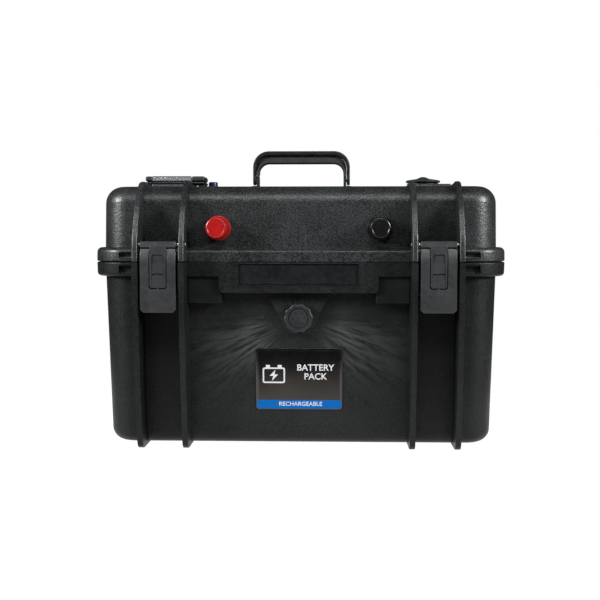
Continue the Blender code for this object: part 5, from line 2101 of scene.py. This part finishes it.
class ManagementBoard:
    """The battery management board with its parts and heat sink."""

    def parts(self, face: float, low: Vector, high: Vector) -> None:
        """The transistors, capacitors and connector on the board's inner side."""
        chips = []
        for i in range(7):
            y = low.y + (9 + i * 13) * MM
            chip = block("chip", (face - 1.6 * MM, y, 52 * MM), (face, y + 8.4 * MM, 61 * MM), 0.25 * MM, 2)
            chips.append(chip)
        for i in range(4):
            y = low.y + (14 + i * 20) * MM
            chips.append(block("driver", (face - 1.3 * MM, y, 80 * MM), (face, y + 10 * MM, 87 * MM), 0.2 * MM,
                2))
        dress(gather(*chips, name="board_chips"), PART_BLACK, "base")
        tops = [lathe("can", [(0.0, face), (4 * MM, face), (4 * MM, face - 5.6 * MM), (3.6 * MM, face - 6 * MM),
            (0.0, face - 6 * MM)], (0.0, low.y + (22 + i * 16) * MM, 108 * MM), Axis.X, 32) for i in range(4)]
        dress(gather(*tops, name="board_capacitors"), ALUMINIUM, "base")
        plug = block("board_plug", (face - 5 * MM, low.y + 34 * MM, 138 * MM),
            (face, low.y + 66 * MM, 146 * MM), 0.4 * MM, 2)
        slots = [block("pin_slot", (face - 4 * MM, low.y + (36.4 + i * 3.6) * MM, 141 * MM),
            (face - 1.5 * MM, low.y + (38.4 + i * 3.6) * MM, 147 * MM)) for i in range(8)]
        carve(plug, *slots)
        dress(plug, LABEL_WHITE, "base")

    def build(self) -> None:
        """Builds the board, its parts and the heat sink."""
        low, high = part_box("bms_board")
        outline = rounded_rectangle((low.y, low.z), (high.y, high.z), 2.5 * MM)
        board = prism("board", outline, Axis.X, low.x, high.x)
        holes = [rod("hole", (0.0, y, z), Axis.X, 1.6 * MM, low.x - MM, high.x + MM, 0.0, 20)
            for y in (low.y + 4 * MM, high.y - 4 * MM) for z in (low.z + 3 * MM, high.z - 3 * MM)]
        carve(board, *holes)
        dress(board, BOARD, "base", ["bms_board"])
        self.parts(low.x, low, high)
        sink = node_copy("bms_heat_sink", "heat_sink")
        soften(sink, 0.4 * MM, 2, 50)
        dress(sink, ALUMINIUM, "base", ["bms_heat_sink"])


@dataclass(frozen=True)
class Lead:
    """A cable with a heat-shrink sleeve at each end.

    Attributes:
        name: The frame node that it stands for.
        route: The points that it passes through, in metres.
        finish: Its sheath.
        slot: The record's slot.
        bends: True if it crosses the lid's hinge line.
    """

    name: str
    route: tuple[Place, ...]
    # slot: Not used.
    finish: Finish
    slot: str
    bends: bool = True

    def build(self) -> None:
        """Builds the cable with its sleeves as one ribbed tube, so that it bends as one."""
        cable = wire(f"{self.name}_cable", self.route, 3.2 * MM, smooth=6)
        points = through(self.route, 6)
        for start, stop in ((0, 5), (len(points) - 6, len(points) - 1)):
            sleeve = wire("sleeve", points[start:stop + 1], 3.5 * MM, smooth=1)
            cable = gather(cable, sleeve)
        cable.data.materials.clear()
        cable.data.materials.append(self.finish.build())
        pick(cable)
        bpy.ops.object.shade_smooth_by_angle(angle=math.radians(50))
        if self.bends:
            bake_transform(cable, "base", "lid", start=(0.0, 66 * MM, 200 * MM), end=(0.0, 82 * MM, 250 * MM))
        else:
            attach(cable, "base")
        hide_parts(self.name)


def leads() -> list[Lead]:
    """The two main leads and the board's own."""
    def run(*points: Place) -> tuple[Place, ...]:
        """Points in millimetres, in metres."""
        return tuple(tuple(v * MM for v in p) for p in points)

    positive = run((-129.5, 53, 216), (-129.5, 66, 222), (-122, 79, 226), (-112, 82, 240), (-104, 76, 256),
        (-98, 50, 264), (-94, 10, 265), (-88, -22, 256), (-85.5, -36, 240), (-85, -48, 234))
    negative = run((171, 20, 152), (171, 40, 180), (168, 66, 205), (155, 79, 222), (140, 82, 240),
        (125, 76, 256), (112, 50, 264), (100, 10, 265), (89, -22, 256), (85.5, -36, 240), (85, -48, 234))
    link = run((129.5, 53, 216), (140, 50, 222), (156, 36, 216), (164.5, 12, 190), (166.5, 4, 162),
        (167, 0, 152))
    return [Lead("positive_lead", positive, LEAD_RED, "red_plastic"),
        Lead("negative_lead", negative, LEAD_BLACK, "black_gloss"),
        Lead("bms_lead", link, LEAD_BLACK, "black_gloss", bends=False)]


class FloorFoam:
    """The foam pad under the cells, its sides drawn in a little at half height."""

    def build(self) -> None:
        """Builds the pad."""
        low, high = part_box("floor_foam")
        pad = block("foam_pad", tuple(low), tuple(high), 1.2 * MM, 4)
        with editing(pad):
            bpy.ops.mesh.bisect(plane_co=(0.0, 0.0, (low.z + high.z) / 2), plane_no=UP)
        with editing(pad, Kind.VERT, lambda m, d: abs(m.z - (low.z + high.z) / 2) < NEAR):
            bpy.ops.transform.resize(value=(0.997, 0.992, 1.0), center_override=(0.0, MIDDLE_Y, high.z))
        dress(pad, FOAM, "base", ["floor_foam"])


# ---- studio ----


@dataclass(frozen=True)
class Lamp:
    """One soft box.

    Attributes:
        name: The light's name.
        azimuth: Its bearing from the front, in degrees, positive to the right.
        elevation: Its height, in degrees.
        distance: How far it stands from the case.
        wide: Width of the box.
        tall: Height of the box.
        power: Watts.
    """

    name: str
    azimuth: float
    elevation: float
    distance: float
    wide: float
    tall: float
    power: float


@dataclass
class Studio:
    """Pale floor, soft boxes and the camera."""

    target: Place = (0.0, 0.0, 161 * MM)
    azimuth: float = 1.91
    elevation: float = 3.29
    distance: float = 1.1
    lens: float = 57.88
    shift: Flat = (-0.00217, -0.01167)
    backdrop: Place = (1.0, 1.0, 1.0)
    lamps: list[Lamp] = field(default_factory=lambda: [
        Lamp("left_box", -59.0, 22.0, 1.7, 0.4, 0.45, 49.0),
        Lamp("right_box", 59.0, 22.0, 1.7, 0.4, 0.45, 49.0),
        Lamp("front_box", 0.0, 44.0, 1.7, 1.3, 0.25, 17.0),
    ])

    @staticmethod
    def stand(azimuth: float, elevation: float, distance: float, about: Vector) -> Vector:
        """A place round a point, by bearing, height and distance."""
        a, e = math.radians(azimuth), math.radians(elevation)
        return about + distance * Vector((math.sin(a) * math.cos(e), -math.cos(a) * math.cos(e), math.sin(e)))

    def aim(self, piece: Piece, place: Vector, at: Vector) -> None:
        """Puts a camera or lamp at a place, looking at a point."""
        piece.location = place
        piece.rotation_euler = (at - place).to_track_quat("-Z", "Y").to_euler()

    def camera(self) -> None:
        """Adds the camera."""
        calm()
        bpy.ops.object.camera_add()
        piece = bpy.context.object
        piece.name = "camera"
        target = Vector(self.target)
        self.aim(piece, self.stand(self.azimuth, self.elevation, self.distance, target), target)
        piece.data.sensor_width = 36.0
        piece.data.lens = self.lens
        piece.data.shift_x, piece.data.shift_y = self.shift
        piece.data.dof.use_dof = False
        bpy.context.scene.camera = piece

    def lights(self) -> None:
        """Adds the soft boxes."""
        about = Vector((0.0, 0.0, 0.16))
        for lamp in self.lamps:
            calm()
            bpy.ops.object.light_add(type="AREA")
            piece = bpy.context.object
            piece.name = lamp.name
            self.aim(piece, self.stand(lamp.azimuth, lamp.elevation, lamp.distance, about), about)
            piece.data.shape = "RECTANGLE"
            piece.data.size = lamp.wide
            piece.data.size_y = lamp.tall
            piece.data.energy = lamp.power

    def floor(self) -> None:
        """Adds the pale floor, with a fine unevenness."""
        calm()
        bpy.ops.mesh.primitive_plane_add(size=1.0)
        piece = bpy.context.object
        piece.name = "studio_floor"
        with editing(piece):
            bpy.ops.transform.resize(value=(1.1, 0.8, 1.0))
            bpy.ops.mesh.subdivide(number_cuts=3)
        recipe = Recipe("pale_floor")
        tone = recipe.remap(recipe.noise(0.4, 3.0), (0.3, 0.7))
        recipe.surface(
            Base_Color=recipe.blend(tone, (0.05, 0.05, 0.05), (0.07, 0.07, 0.07)),
            Roughness=recipe.remap(recipe.noise(0.05, 4.0), (0.3, 0.7), (0.72, 0.84)),
            Emission_Color=(1.0, 1.0, 1.0),
            Emission_Strength=1.0,
        )
        piece.data.materials.append(recipe.material)

    def air(self) -> None:
        """Sets the room: white behind the case, and a softer grey in what it reflects."""
        world = bpy.data.worlds.new("studio_air")
        bpy.context.scene.world = world
        world.use_nodes = True
        nodes, links = world.node_tree.nodes, world.node_tree.links
        room = nodes["Background"]
        room.inputs["Color"].default_value = (0.93, 0.97, 1.0, 1.0)
        room.inputs["Strength"].default_value = 0.08
        sheet = nodes.new("ShaderNodeBackground")
        sheet.inputs["Color"].default_value = (*self.backdrop, 1.0)
        sheet.inputs["Strength"].default_value = 1.0
        seen = nodes.new("ShaderNodeLightPath").outputs["Is Camera Ray"]
        mix = nodes.new("ShaderNodeMixShader")
        links.new(seen, mix.inputs["Fac"])
        links.new(room.outputs["Background"], mix.inputs[1])
        links.new(sheet.outputs["Background"], mix.inputs[2])
        links.new(mix.outputs["Shader"], nodes["World Output"].inputs["Surface"])

    def build(self) -> None:
        """Builds the studio."""
        bpy.context.scene.view_settings.view_transform = "Standard"
        self.camera()
        self.lights()
        self.floor()
        self.air()


def main() -> None:
    """Builds every piece in order."""
    logging.basicConfig(level=logging.INFO, format="%(name)s %(message)s")
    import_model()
    sizes = CaseSizes()
    Studio().build()
    TubMoulding(sizes).build()
    LidMoulding(sizes).build()
    LidSeal().build()
    HingeHardware(sizes).build()
    Latch(sizes).build()
    Handle(sizes).build()
    Terminal("positive", -TERMINAL_X, SIGNAL_RED, "red_plastic").build()
    Terminal("negative", TERMINAL_X, BLACK_GLOSS, "black_gloss").build()
    PurgeValve().build()
    NamePlate().build()
    RatingLabel(sizes).build()
    Meter(sizes).build()
    PushSwitch().build()
    ChargeSocket().build()
    CellStack(sizes).build()
    ManagementBoard().build()
    FloorFoam().build()
    for lead in leads():
        lead.build()


if __name__ == "__main__":
    main()
